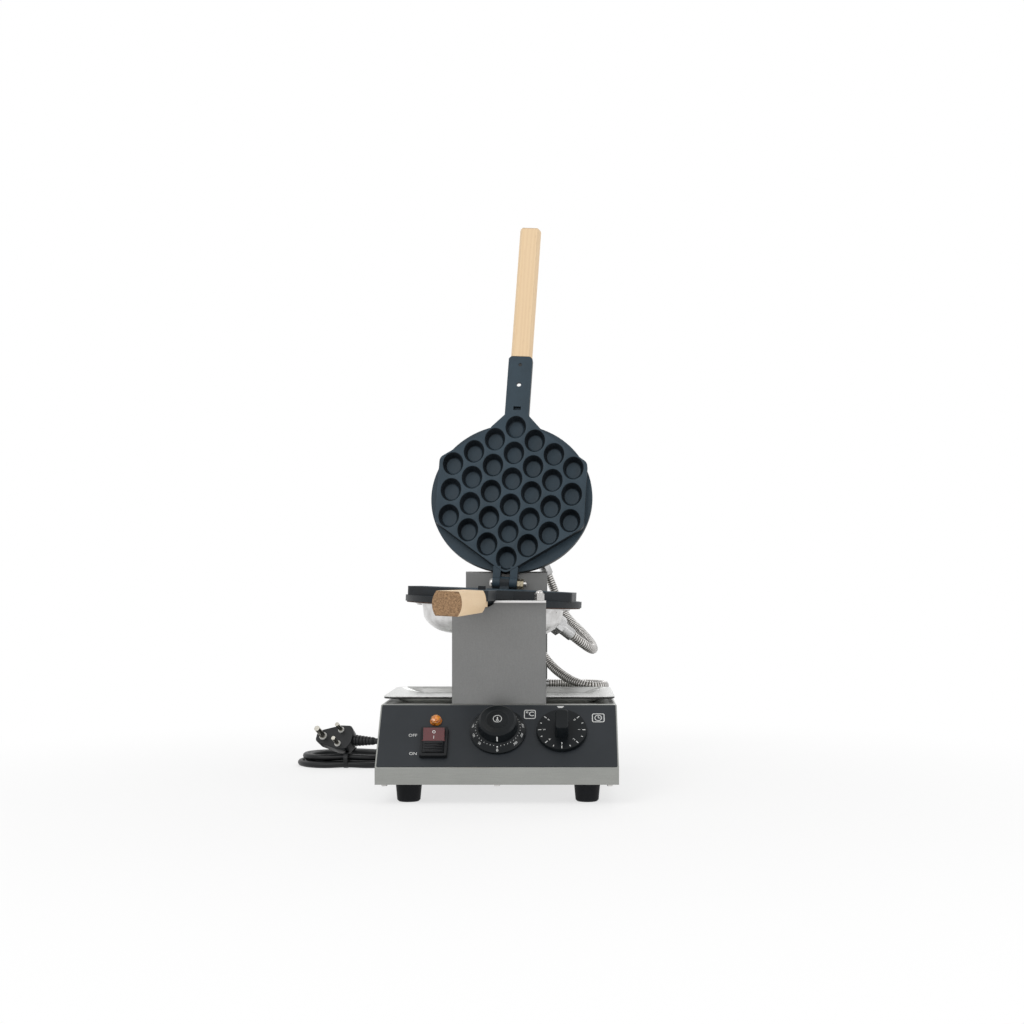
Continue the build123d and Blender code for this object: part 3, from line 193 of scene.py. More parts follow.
class Finish:
    """A material being wired up. Keyword arguments set the surface shader's own sockets."""

    def __init__(self, name, **surface):
        self.material = bpy.data.materials.new(name)
        self.material.use_nodes = True
        self.tree = self.material.node_tree
        self.surface = self.tree.nodes["Principled BSDF"]
        for socket, value in surface.items():
            self.surface.inputs[socket.replace("_", " ")].default_value = value
        self.place = self.node("ShaderNodeTexCoord", out="Object")

    def node(self, kind, settings=(), sockets=(), out=0):
        """Adds a node: its settings first, then the values or links of its sockets."""
        made = self.tree.nodes.new(kind)
        for name, value in dict(settings).items():
            setattr(made, name, value)
        for name, value in dict(sockets).items():
            self.feed(made.inputs[name], value)
        return Value(self, made.outputs[out])

    def feed(self, socket, value):
        if isinstance(value, Value):
            self.tree.links.new(value.socket, socket)
        else:
            socket.default_value = value

    def set(self, **surface):
        """Feeds the surface shader's sockets with values that change over the piece."""
        for socket, value in surface.items():
            self.feed(self.surface.inputs[socket.replace("_", " ")], value)

    def ramp(self, value, low, high):
        """0 below low, 1 above high, and smooth between."""
        return self.node(
            "ShaderNodeMapRange", {"interpolation_type": "SMOOTHSTEP"},
            {"Value": value, "From Min": low, "From Max": high},
        )

    def mix(self, mask, first, second):
        """The first colour where the mask is 0, the second where it is 1."""
        sockets = {0: mask, 6: first, 7: second}
        return self.node("ShaderNodeMix", {"data_type": "RGBA"}, sockets, out=2)

    def seen_from(self, frame_matrix):
        """The place on the piece in the axes of one of the frames above."""
        inside = frame_matrix.inverted()
        return self.node("ShaderNodeMapping", {}, {
            "Vector": self.place, "Location": inside.translation, "Rotation": inside.to_euler(),
        })

    def stretch(self, place, x, y, z):
        return self.node("ShaderNodeMapping", {}, {"Vector": place, "Scale": (x, y, z)})

    def noise(self, place, scale, detail=2.0, roughness=0.5, distortion=0.0):
        return self.node("ShaderNodeTexNoise", {}, {
            "Vector": place, "Scale": scale, "Detail": detail, "Roughness": roughness,
            "Distortion": distortion,
        })

    def facing(self, direction):
        """How squarely the surface faces a direction, from 0 to 1, on either side."""
        normal = self.node("ShaderNodeTexCoord", out="Normal")
        product = {"operation": "DOT_PRODUCT"}
        return abs(self.node("ShaderNodeVectorMath", product, {0: normal, 1: direction}, out=1))

    def relief(self, height, distance, strength=1.0, edge=0.0):
        """Feeds the surface's normal with a bump, over edges rounded by a small radius."""
        sockets = {"Height": height, "Distance": distance, "Strength": strength}
        if edge:
            sockets["Normal"] = self.node("ShaderNodeBevel", {"samples": 4}, {"Radius": edge})
        self.set(Normal=self.node("ShaderNodeBump", {}, sockets))


def grey(level, warmth=0.0):
    """A near-neutral linear colour. Warmth lifts red and lowers blue."""
    return (level * (1 + warmth), level, level * (1 - warmth), 1.0)


# %% [markdown]
# # Brushed stainless steel
# The casing, both uprights and the tray are folded from sheet with a fine
# brushed grain. Noise squeezed to long thin streaks gives that grain, and it
# drives colour, roughness and a very shallow bump together, as scratches do.
# A slow second noise adds the haze that fingers leave.
# %% Steel finishes
STEEL_CONTRAST = 1.9  # spreads the noises, which crowd round one half
UPRIGHT_EDGE = 0.2062  # the front upright gets a painted highlight above this height, for the light on its rounded top edge


def tinted(level, tint):
    """A linear grey shifted by three factors close to 1."""
    return (level * tint[0], level * tint[1], level * tint[2], 1.0)


def brushed_steel(name, tone, grain, roughness, tint=(1, 1, 1), highlight_above=None, depth=0.00002):
    """Steel brushed along the axis whose entry in grain is small, with a painted highlight above a height.
    """
    steel = Finish(name, Metallic=0.9)
    streaks = steel.noise(steel.stretch(steel.place, *grain), 1.0, detail=4.0, roughness=0.6)
    haze = steel.noise(steel.place, 22.0, detail=3.0)
    speckle = steel.noise(steel.place, 900.0, detail=2.0)
    shade = (streaks * 0.40 + haze * 0.30 + speckle * 0.30 - 0.5) * STEEL_CONTRAST + 0.5
    colour = steel.mix(shade.held(), tinted(tone * 0.80, tint), tinted(tone * 1.18, tint))
    # Above that height the colour is a flat pale grey: a painted highlight standing in for the light on the
    # upright's rounded top edge.
    if highlight_above:
        height = steel.node("ShaderNodeSeparateXYZ", {}, {0: steel.place}, out=2)
        painted_highlight = steel.ramp(height, highlight_above, highlight_above + 0.0004)
        colour = steel.mix(painted_highlight, colour, grey(0.62, 0.01))
    steel.set(
        Base_Color=colour,
        Roughness=(haze * 0.16 + streaks * 0.10 + (roughness - 0.13)),
    )
    steel.relief(streaks, depth, 0.5, edge=0.0005)
    return steel.material


casing_steel = brushed_steel(
    "brushed_casing_steel", 0.32, (60, 400, 2600), 0.34, (0.98, 1, 0.95))
upright_steel = brushed_steel(
    "brushed_upright_steel", 0.21, (2600, 2600, 70), 0.40, (0.99, 1, 0.99), UPRIGHT_EDGE)
rear_steel = brushed_steel(
    "brushed_rear_upright_steel", 0.21, (2600, 2600, 70), 0.40, (0.99, 1, 0.99))
tray_steel = brushed_steel(
    "drip_tray_steel", 0.60, (40, 900, 900), 0.30, (0.99, 1, 0.98), depth=0.000002)
# The hem's near-black steel is painted shade for the dark underside of the tray's rim.
tray_hem_painted_shade = brushed_steel("drip_tray_hem_painted_shade", 0.025, (50, 2200, 2200), 0.40)
plate_steel = brushed_steel("bottom_plate_steel", 0.40, (60, 2200, 900), 0.42)

# %% [markdown]
# # Coated pans
# The cast pans carry a dark blue-grey release coating with a satin speckle.
# The baking faces keep it even, while everything that faces sideways, the cast
# sides and the cell walls, is painted nearly black as shade. So the mask is how
# squarely a face looks along the pan's own normal.
# %% Pan coating
def pan_coating(name, pan_frame):
    coat = Finish(name, Metallic=0.0, IOR=1.5, Specular_IOR_Level=0.30)
    normal = pan_frame.to_3x3().col[2]
    level = coat.ramp(coat.facing(normal), 0.55, 0.92)
    speckle = coat.noise(coat.place, 2600.0, detail=2.0, roughness=0.6)
    cloud = coat.noise(coat.place, 30.0, detail=4.0)
    face = coat.mix(
        coat.ramp(cloud, 0.3, 0.7), (0.017, 0.034, 0.048, 1), (0.026, 0.047, 0.065, 1))
    # Faces that look sideways, the cell walls and cast sides, take this near-black colour: painted shade.
    side = coat.mix(
        coat.ramp(cloud, 0.35, 0.65), (0.004, 0.006, 0.008, 1), (0.008, 0.012, 0.016, 1))
    fleck = coat.ramp(speckle, 0.62, 0.72) * 0.35
    coat.set(
        Base_Color=coat.mix(fleck, coat.mix(level, side, face), (0.11, 0.13, 0.16, 1)),
        Roughness=cloud * 0.18 + 0.36 + speckle * 0.10,
    )
    coat.relief(speckle, 0.00005, 0.45, edge=0.0006)
    return coat.material


lower_coating = pan_coating("coated_lower_pan", LOWER_PAN)
upper_coating = pan_coating("coated_upper_pan", UPPER_PAN)

# %% [markdown]
# # Spun aluminium
# The domes behind the pans are pressed from thin aluminium sheet on a lathe,
# which leaves faint rings round the middle, and thin sheet picks up dents.
# The rings are a wave of the distance from the dome's axis. The dents are a
# slow noise, deep enough to bend the reflections.
# %% Aluminium finishes
def spun_aluminium(name, pan_frame):
    dome = Finish(name, Metallic=1.0)
    local = dome.seen_from(pan_frame @ PAN_MIDDLE)
    flat = dome.stretch(local, 1, 1, 0)
    reach = dome.node("ShaderNodeVectorMath", {"operation": "LENGTH"}, {0: flat}, out=1)
    rings = dome.node("ShaderNodeMath", {"operation": "SINE"}, {0: reach * 5200.0})
    dents = dome.noise(local, 26.0, detail=1.5, distortion=0.4)
    grime = dome.noise(local, 60.0, detail=5.0, roughness=0.65)
    spots = dome.ramp(dome.noise(local, 190.0, detail=2.0), 0.70, 0.76)
    tone = dome.mix(dome.ramp(grime, 0.3, 0.75), grey(0.70, 0.005), grey(0.48, 0.02))
    dome.set(
        Base_Color=dome.mix(spots * 0.8, tone, (0.09, 0.08, 0.07, 1)),
        Roughness=grime * 0.22 + 0.22 + spots * 0.2,
    )
    dome.relief(dents + rings * 0.004 + grime * 0.02, 0.0030, 0.8, edge=0.0006)
    return dome.material


lower_dome_skin = spun_aluminium("spun_lower_dome", LOWER_PAN)
upper_dome_skin = spun_aluminium("spun_upper_dome", UPPER_PAN)


def heater_skin():
    tube = Finish("oxidised_heater_tube", Metallic=0.85)
    stain = tube.noise(tube.place, 90.0, detail=4.0)
    tube.set(
        Base_Color=tube.mix(
            tube.ramp(stain, 0.3, 0.7), (0.20, 0.17, 0.13, 1), (0.34, 0.31, 0.28, 1)),
        Roughness=stain * 0.3 + 0.35,
    )
    tube.relief(tube.noise(tube.place, 1400.0), 0.00003, 0.4)
    return tube.material


heater_tube = heater_skin()

# %% [markdown]
# # Beech grips
# Pale beech is close-grained: faint growth bands along the grip, and short
# dark flecks. Sawn across, the same wood drinks in grease and turns brown
# with a pored surface. The bands are a bent wave, and flecks, pores and rays
# are noises of their own. The end grain shows where the surface faces along
# the grip.
# %% Wood finish
def beech(name, pan_frame):
    wood = Finish(name, Metallic=0.0, IOR=1.45, Specular_IOR_Level=0.35)
    local = wood.seen_from(pan_frame)
    along = pan_frame.to_3x3().col[1]
    slow = wood.stretch(local, 1, 0.07, 1)
    bend = wood.noise(slow, 46.0, detail=3.0, distortion=0.6)
    bands = wood.node("ShaderNodeTexWave", {"bands_direction": "X"}, {
        "Vector": slow, "Scale": 62.0, "Distortion": 5.0, "Detail": 3.0, "Detail Scale": 1.4,
    }, out="Fac")
    fibre = wood.noise(wood.stretch(local, 1, 0.02, 1), 1500.0, detail=3.0)
    fleck = wood.ramp(wood.noise(wood.stretch(local, 1, 0.10, 1), 900.0, detail=1.0), 0.66, 0.74)
    growth = (bands * 0.55 + bend * 0.45).held()
    pale = wood.mix(growth, (0.85, 0.65, 0.42, 1), (0.78, 0.57, 0.35, 1))
    streaked = wood.mix(fibre * 0.20, pale, (0.58, 0.38, 0.21, 1))
    side = wood.mix(fleck * 0.25, streaked, (0.45, 0.27, 0.14, 1))
    pores = wood.noise(wood.stretch(local, 1, 0.3, 1), 1100.0, detail=4.0, roughness=0.7)
    rays = wood.noise(wood.stretch(local, 0.8, 1, 1.0), 520.0, detail=4.0)
    grain = wood.ramp(pores * 0.6 + rays * 0.4, 0.38, 0.62)
    cut = wood.mix(grain, (0.18, 0.108, 0.058, 1), (0.40, 0.245, 0.130, 1))
    end = wood.ramp(wood.facing(along), 0.25, 0.55)
    wood.set(
        Base_Color=wood.mix(end, side, cut),
        Roughness=fibre * 0.18 + 0.46 + end * 0.16,
    )
    wood.relief(fibre * 0.6 + pores * end, 0.00012, 0.45, edge=0.0012)
    return wood.material


lower_beech = beech("beech_lower_grip", LOWER_PAN)
upper_beech = beech("beech_upper_grip", UPPER_PAN)

# %% [markdown]
# # Plastics, rubber and small metal
# The panel wears a printed film, the knobs and switch are moulded, the feet
# and lead are rubbery, and the fasteners are plated. One recipe does for all
# of them: a colour that drifts a little, a roughness with faint smudges, and
# a fine moulded texture in the bump.
# %% Moulded and plated finishes
SMUDGE = 0.12  # how far the drift moves the roughness


def moulded(name, dark, light, roughness, texture=1800.0, depth=0.00002, edge=0.0004, **surface):
    stuff = Finish(name, **surface)
    drift = stuff.noise(stuff.place, 35.0, detail=4.0)
    fine = stuff.noise(stuff.place, texture, detail=2.0)
    stuff.set(
        Base_Color=stuff.mix(stuff.ramp(drift * 0.7 + fine * 0.3, 0.3, 0.7), dark, light),
        Roughness=drift * SMUDGE + fine * 0.06 + (roughness - SMUDGE / 2 - 0.03),
    )
    stuff.relief(fine, depth, 0.4, edge=edge)
    return stuff.material


panel_film = moulded(
    "printed_panel_film", (0.013, 0.017, 0.021, 1), (0.018, 0.022, 0.027, 1), 0.46, edge=0.0,
    Specular_IOR_Level=0.32)
knob_plastic = moulded(
    "moulded_knob_plastic", (0.004, 0.006, 0.007, 1), (0.008, 0.010, 0.012, 1), 0.34,
    Specular_IOR_Level=0.20)
switch_plastic = moulded(
    "moulded_switch_plastic", (0.005, 0.006, 0.007, 1), (0.009, 0.010, 0.012, 1), 0.38,
    Specular_IOR_Level=0.25)
rocker_plastic = moulded(
    "dark_red_rocker", (0.070, 0.009, 0.012, 1), (0.105, 0.016, 0.019, 1), 0.22,
    Coat_Weight=0.4, Coat_Roughness=0.12)
foot_rubber = moulded(
    "moulded_rubber_feet", (0.005, 0.006, 0.007, 1), (0.012, 0.013, 0.015, 1), 0.58, 900.0, 0.00006,
    Specular_IOR_Level=0.14)
lead_sheath = moulded(
    "flexible_lead_sheath", (0.005, 0.006, 0.007, 1), (0.010, 0.011, 0.012, 1), 0.42, 1200.0,
    Specular_IOR_Level=0.3)
gasket_fibre = moulded(
    "brown_gasket_fibre", (0.050, 0.028, 0.020, 1), (0.110, 0.062, 0.044, 1), 0.80, 900.0, 0.00015)
body_plastic = moulded(
    "grey_control_bodies", (0.20, 0.20, 0.20, 1), (0.27, 0.27, 0.26, 1), 0.50)
plated_zinc = moulded(
    "plated_fasteners", grey(0.46, 0.02), grey(0.70, 0.02), 0.28, 700.0, 0.00003, Metallic=1.0)
dark_zinc = moulded(
    "dulled_hose_fittings", grey(0.30), grey(0.62), 0.24, 500.0, 0.00004, Metallic=1.0)
warm_zinc = moulded(
    "yellowed_hinge_nuts", (0.50, 0.42, 0.28, 1), (0.66, 0.58, 0.42, 1), 0.30, 700.0, 0.00003,
    Metallic=1.0)
pin_nickel = moulded(
    "nickel_plug_pins", (0.42, 0.40, 0.35, 1), (0.62, 0.60, 0.54, 1), 0.24, 600.0, Metallic=1.0)
collar_plastic = moulded(
    "pale_pin_collars", (0.50, 0.50, 0.48, 1), (0.62, 0.62, 0.60, 1), 0.45)
black_oxide = moulded(
    "blackened_neck_screws", grey(0.020), grey(0.045), 0.42, 700.0, 0.00003, Metallic=0.8)
white_ink = moulded("white_print", (0.60, 0.61, 0.60, 1), (0.74, 0.75, 0.74, 1), 0.55, edge=0.0)


def amber_glass():
    lens = Finish(
        "amber_lamp_lens", Metallic=0.0, IOR=1.55, Coat_Weight=0.6, Coat_Roughness=0.08,
        Roughness=0.16, Subsurface_Weight=0.25, Subsurface_Scale=0.002,
    )
    sockets = {"Vector": lens.place, "Scale": 420.0}
    cells = lens.node("ShaderNodeTexVoronoi", {}, sockets, out="Color")
    depth = lens.noise(lens.place, 240.0, detail=1.0)
    glow = lens.ramp(cells * 0.5 + depth * 0.5, 0.25, 0.75)
    lens.set(Base_Color=lens.mix(glow, (0.34, 0.085, 0.008, 1), (0.80, 0.27, 0.030, 1)))
    lens.relief(cells, 0.0006, 0.5)
    return lens.material


amber = amber_glass()

# %% [markdown]
# # Dressing the solids
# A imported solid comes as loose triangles, which shade flat. A copy with its
# doubles merged can be shaded smooth, with every real edge kept sharp. The
# copy stands for the solid, rides on the same body, and takes its finish.
# %% A dressed copy of a node
def owner(node):
    """The body that a node rides on."""
    parent = frame["nodes"][node].parent
    return next(name for name, empty in frame["bodies"].items() if empty == parent)


def finished(shape, name):
    """Turns a bmesh into a mesh and lets it go."""
    mesh = bpy.data.meshes.new(name)
    shape.to_mesh(mesh)
    shape.free()
    return mesh


def show(mesh, name, material, body, slot, *nodes, sharp=32.0):
    """Makes a finished piece of a mesh or bmesh: shaded, coloured, riding on its body."""
    if isinstance(mesh, bmesh.types.BMesh):
        mesh = finished(mesh, name)
    piece = linked(name, mesh)
    mesh.materials.append(material)
    mesh.shade_smooth()
    mesh.set_sharp_from_angle(angle=math.radians(sharp))
    if nodes:
        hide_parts(*nodes)
    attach(piece, body)
    return piece


def merged(node):
    """A node's surface as one welded skin."""
    skin = bmesh.new()
    skin.from_mesh(frame["nodes"][node].data)
    bmesh.ops.remove_doubles(skin, verts=skin.verts, dist=2e-6)
    return skin


def dress(node, material, slot, sharp=32.0):
    mesh = finished(merged(node), node + "_skin")
    for layer in [a for a in mesh.attributes if "normal" in a.name and not a.is_required]:
        mesh.attributes.remove(layer)
    return show(mesh, node + "_skin", material, owner(node), slot, node, sharp=sharp)


DRESSED = {
    "stainless": {
        "casing": casing_steel, "bottom_plate": plate_steel, "front_upright": upright_steel,
        "rear_upright": rear_steel, "drip_tray": tray_steel,
    },
    "coating": {"lower_plate": lower_coating, "upper_plate": upper_coating},
    "bare_aluminium": {
        "lower_dome": lower_dome_skin, "upper_dome": upper_dome_skin,
        "lower_heater": heater_tube, "upper_heater": heater_tube,
    },
    "beech": {"lower_handle": lower_beech, "upper_handle": upper_beech},
    "gasket_brown": {"lower_gasket": gasket_fibre, "upper_gasket": gasket_fibre},
    "panel_black": {"control_panel": panel_film},
    "knob_black": {
        "temperature_dial": knob_plastic, "temperature_cap": knob_plastic,
        "timer_knob": knob_plastic, "switch_housing": switch_plastic,
    },
    "rubber_black": {f"foot_{corner}": foot_rubber for corner in (
        "front_left", "front_right", "rear_left", "rear_right")},
    "grey_plastic": {
        name: body_plastic for name in ("lamp_holder", "thermostat_body", "timer_body")},
    "zinc": {
        **{name: plated_zinc for name in (
            "bottom_screws", "foot_screws", "upright_screws", "stop_studs", "stop_nuts",
            "stop_cap_nuts", "lower_dome_screws", "upper_dome_screws", "spindle",
            "spindle_washer", "spindle_nut", "hinge_bolt")},
        **{name: black_oxide for name in ("lower_handle_screw", "upper_handle_screw")},
        **{name: dark_zinc for name in (
            "lower_lid_hose_fitting", "upper_lid_hose_fitting", "lower_base_hose_fitting",
            "base_hose_elbow")},
        "hinge_nuts": warm_zinc,
    },
}
for slot, pieces in DRESSED.items():
    for node, material in pieces.items():
        dress(node, material, slot)
print("dressed", sum(map(len, DRESSED.values())), "nodes")

# %% [markdown]
# The cell nearest each neck reaches past the round plate behind the cells, and
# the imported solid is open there. So it gets a wall of its own at the back: a
# small oval cup, turned from a profile of the cell's floor and stretched along
# the pan. It sits against the underside of the cast face, and only its rim
# enters the casting.
# %% Cups behind the neck cells
NECK_CELL_S = 200.0  # from the hinge pin to the middle of the cell
CELL_STRETCH = 1.15  # the cell is longer along the pan than across
CUP_INSIDE = (
    (0.0, -11.45), (6.4, -11.45), (7.25, -11.35), (8.06, -11.0), (8.85, -10.5), (9.42, -10.0),
    (9.66, -9.5),
)
CUP_OUTSIDE = ((12.6, -9.5), (12.2, -11.8), (11.4, -13.3), (9.8, -14.2), (0.0, -14.3))


def spun(profile, matrix, segments=32):
    """Turns a profile of (radius, height) pairs, in millimetres, about Z, then places it."""
    shape = bmesh.new()
    verts = [shape.verts.new((r * MM, 0, z * MM)) for r, z in profile]
    edges = [shape.edges.new(pair) for pair in zip(verts, verts[1:])]
    bmesh.ops.spin(shape, geom=verts + edges, axis=(0, 0, 1), cent=(0, 0, 0), angle=math.tau,
                   steps=segments, use_merge=True)
    bmesh.ops.remove_doubles(shape, verts=shape.verts, dist=1e-6)
    bmesh.ops.recalc_face_normals(shape, faces=shape.faces)
    bmesh.ops.transform(shape, matrix=matrix, verts=shape.verts)
    return shape


for name, pan_frame, body, coating in (
    ("lower_neck_cell_cup", LOWER_PAN, "lower_iron", lower_coating),
    ("upper_neck_cell_cup", UPPER_PAN, "upper_iron", upper_coating),
):
    stretched = pan_frame @ shift(0, -NECK_CELL_S) @ Matrix.Diagonal((1, CELL_STRETCH, 1, 1))
    cup = spun((*CUP_INSIDE, *CUP_OUTSIDE), stretched, 48)
    show(cup, name, coating, body, "coating", sharp=40)

# %% [markdown]
# The tray's rim ends in a narrow turned-down hem. From the front only its
# edge shows, a thin dark line that parts the bright tray from the casing. That
# line is painted shade: the strip is coloured near black for the shade under the
# rim, and it goes round under the rim as a piece of its own and rides with it.
# %% Tray hem
TRAY_W, TRAY_D, TRAY_CORNER = 248.8, 146.8, 12.0
HEM_H, HEM_T = 2.2, 0.5
HEM_TOP = at(-0.6, -19.5, 105.2)


def verts_of(geometry):
    return [g for g in geometry if isinstance(g, bmesh.types.BMVert)]


def flat_patch(width, height, corner=0.0, segments=5, taper=1.0):
    """A flat face about the origin with rounded corners. Taper narrows its lower edge."""
    patch = bmesh.new()
    verts = bmesh.ops.create_grid(patch, x_segments=1, y_segments=1, size=0.5)["verts"]
    size = Matrix.Diagonal((width * MM, height * MM, 1, 1))
    bmesh.ops.transform(patch, matrix=size, verts=verts)
    bmesh.ops.scale(patch, vec=(taper, 1, 1), verts=[v for v in verts if v.co.y < 0])
    if corner:
        bmesh.ops.bevel(patch, geom=verts, offset=corner * MM, segments=segments,
                        affect="VERTICES", profile=0.5, material=-1)
    return patch


def leave_outline(flat, width):
    """Keeps only a band along the edge of a flat face."""
    whole = flat.faces[:][0]
    bmesh.ops.inset_region(flat, faces=[whole], thickness=width * MM,
                           use_boundary=True, use_even_offset=True)
    bmesh.ops.delete(flat, geom=[whole], context="FACES_ONLY")


def thicken(flat, depth):
    """Makes a closed slab of a flat face or band."""
    top = bmesh.ops.extrude_face_region(flat, geom=flat.faces[:])["geom"]
    bmesh.ops.translate(flat, vec=(0, 0, depth * MM), verts=verts_of(top))
    bmesh.ops.recalc_face_normals(flat, faces=flat.faces)


hem = flat_patch(TRAY_W, TRAY_D, TRAY_CORNER)
leave_outline(hem, HEM_T)
thicken(hem, -HEM_H)
bmesh.ops.transform(hem, matrix=Matrix.Translation(HEM_TOP), verts=hem.verts)
show(hem, "drip_tray_hem", tray_hem_painted_shade, "tray", "stainless", sharp=50)

# %% [markdown]
# # Steel hoses
# The heater wires run in a steel conduit wound from a folded strip, so its
# outside is a row of small rings. The hose follows a smooth curve through a
# few route points. A ring of vertices is extruded from station to station
# along that curve, wide on a crest and narrow in a groove, and the crest
# height is kept as an attribute for the finish to read.
# %% The line of a route
def route_curve(name, points):
    """A smooth curve that has the route's points as its control points."""
    curve = bpy.data.curves.new(name, "CURVE")
    curve.dimensions = "3D"
    run = curve.splines.new("NURBS")
    run.points.add(len(points) - 1)
    for control, place in zip(run.points, points):
        control.co = (*place, 1.0)
    run.order_u = 3
    run.use_endpoint_u = True
    curve.resolution_u = 12
    return curve


def traced_mesh(data):
    """The mesh that Blender draws for a curve or for text."""
    holder = linked("holder", data)
    seen = holder.evaluated_get(bpy.context.evaluated_depsgraph_get())
    mesh = bpy.data.meshes.new_from_object(seen)
    bpy.data.objects.remove(holder)
    return mesh


def read_line(curve):
    """The points that Blender gives along a curve with no bevel, and how long they run."""
    traced = traced_mesh(curve)
    line = [v.co.copy() for v in traced.vertices]
    bpy.data.meshes.remove(traced)
    return line, sum((b - a).length for a, b in zip(line, line[1:]))


def stations(line, length, count):
    """Evenly spaced frames along a line, each turned no more than the line itself turns."""
    across, passed, ahead, out = None, 0.0, 0, []
    steps = [(b - a).length for a, b in zip(line, line[1:])]
    for step in range(count + 1):
        goal = length * step / count
        while ahead < len(line) - 2 and passed + steps[ahead] < goal:
            passed += steps[ahead]
            ahead += 1
        span = line[ahead + 1] - line[ahead]
        spot = line[ahead] + span * min(1.0, (goal - passed) / span.length)
        before, after = line[max(ahead - 1, 0)], line[min(ahead + 2, len(line) - 1)]
        heading = (after - before).normalized()
        across = across or heading.orthogonal()
        across = across.cross(heading).cross(heading).normalized() * -1
        out.append(axes(across, heading.cross(across), heading, spot))
    return out


def ribbed_tube(line, length, widths, pitch, around=20):
    """A tube whose radius steps through widths once every pitch."""
    count = max(1, round(length / pitch)) * len(widths)
    frames = stations(line, length, count)
    tube = bmesh.new()
    crest = tube.verts.layers.float.new("crest")
    low, high = min(widths), max(widths)
    ring = bmesh.ops.create_circle(tube, cap_ends=True, segments=around, radius=1.0)["verts"]
    edges = list({e for v in ring for e in v.link_edges})
    placed = Matrix.Identity(4)
    for step, here in enumerate(frames):
        width = widths[step % len(widths)]
        if step:
            drawn = bmesh.ops.extrude_edge_only(tube, edges=edges)["geom"]
            ring = verts_of(drawn)
            edges = [g for g in drawn if isinstance(g, bmesh.types.BMEdge)]
        goal = here @ Matrix.Diagonal((width, width, width, 1))
        bmesh.ops.transform(tube, matrix=goal @ placed.inverted(), verts=ring)
        placed = goal
        for vert in ring:
            vert[crest] = (width - low) / max(high - low, 1e-9)
    bmesh.ops.edgeloop_fill(tube, edges=edges)
    bmesh.ops.recalc_face_normals(tube, faces=tube.faces)
    return tube


# %% Conduit finish
def conduit_skin():
    skin = Finish("wound_steel_conduit", Metallic=0.9)
    crest = skin.node("ShaderNodeAttribute", {"attribute_name": "crest"}, out="Fac")
    wear = skin.noise(skin.place, 160.0, detail=4.0)
    metal = skin.mix(skin.ramp(wear, 0.3, 0.7), grey(0.50, 0.03), grey(0.72, 0.02))
    skin.set(
        Base_Color=skin.mix(crest, (0.10, 0.095, 0.080, 1), metal),
        Roughness=wear * 0.2 + 0.24,
    )
    skin.relief(skin.noise(skin.place, 1500.0), 0.00003, 0.4)
    return skin.material


conduit = conduit_skin()

# %% [markdown]
# The lid hose leaves a fitting under the lower pan, loops out at the right and
# climbs to the lid. The base hose drops from the other fitting, makes one low
# loop over the base behind the tray and ends in an elbow there. Each bends
# with the hinge or the bearing that it crosses, so it is blended between
# those two bodies.
# %% Two hoses
HOSE_R = 5.5 * MM
LID_HOSE = [at(*p) for p in (
    (78.701, 44.469, 166.449), (93.315, 51.805, 154.933), (103, 70, 148.5), (106, 92, 148),
    (103, 114, 155), (92, 134, 167), (77, 151, 181), (65, 162, 198), (57.742, 166.044, 221.039),
    (50.151, 159.895, 238.490),
)]
BASE_HOSE = [at(*p) for p in (
    (29.243, 92.610, 168.757), (35.640, 107.944, 157.624), (44, 115, 141), (56, 104, 126),
    (71, 88, 115), (87, 73, 107.5), (104, 66, 105), (118, 77, 104.5), (119, 97, 104.5),
    (110, 115, 104.5), (92, 126, 104.5), (51.886, 123.906, 104.5),
)]
HOSE_WIDTHS = (HOSE_R, HOSE_R, 0.86 * HOSE_R, 0.86 * HOSE_R)
HOSE_PITCH = 2.9 * MM


def hose(name, points, first_body, last_body, bend_start, bend_end):
    line, length = read_line(route_curve(name, points))
    mesh = finished(ribbed_tube(line, length, HOSE_WIDTHS, HOSE_PITCH), name + "_conduit")
    piece = linked(name + "_conduit", mesh)
    mesh.materials.append(conduit)
    mesh.shade_smooth()
    mesh.set_sharp_from_angle(angle=math.radians(70))
    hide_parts(name)
    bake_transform(piece, first_body, last_body, start=bend_start, end=bend_end)
    print(name, "runs", round(length, 4), "m in", len(mesh.vertices), "vertices")
    return piece


hose("lid_hose", LID_HOSE, "lower_iron", "upper_iron", LID_HOSE[1], LID_HOSE[-2])
hose("base_hose", BASE_HOSE, "lower_iron", "base", BASE_HOSE[1], BASE_HOSE[-2])

# %% [markdown]
# # Mains lead
# The lead leaves the back of the base, drops to the floor, and most of its
# length is wound into a flat hank beside the machine with the plug lying on
# top. All of it is one curve: down from the gland, round the hank in lanes a
# diameter apart, up a layer, round again and off to the plug.
# %% The lead and its hank
LEAD_R = 3.75 * MM
HANK = (-196.0, 170.0)
FOLD_OUT = 1.035  # control points stand this much outside the bend they draw
REACH = 24.0  # from the middle of the hank to the middle of a fold
OVER_TIE = 1.3


def lane(radius, z, start, stop, end_radius=None):
    """Control points round the hank by sixteenths, clockwise from the right end of it."""
    out = []
    for step in range(start, stop):
        place = step % 16
        grow = (step - start) / max(stop - start - 1, 1)
        r = radius + ((end_radius or radius) - radius) * grow
        if place in (4, 12):  # straight runs, over the tie
            side = -1 if place == 4 else 1
            out.append((HANK[0], HANK[1] + side * r, z + OVER_TIE))
            continue
        # seven points round each fold: 0 is the right end, 8 the left
        right = place < 4 or place > 12
        near = place if place < 4 else place - 8 if place < 12 else place - 16
        middle = HANK[0] + (REACH if right else -REACH)
        angle = math.radians(-near * 30 if right else 180 - near * 30)
        out.append((
            middle + FOLD_OUT * r * math.cos(angle), HANK[1] + FOLD_OUT * r * math.sin(angle), z))
    return out


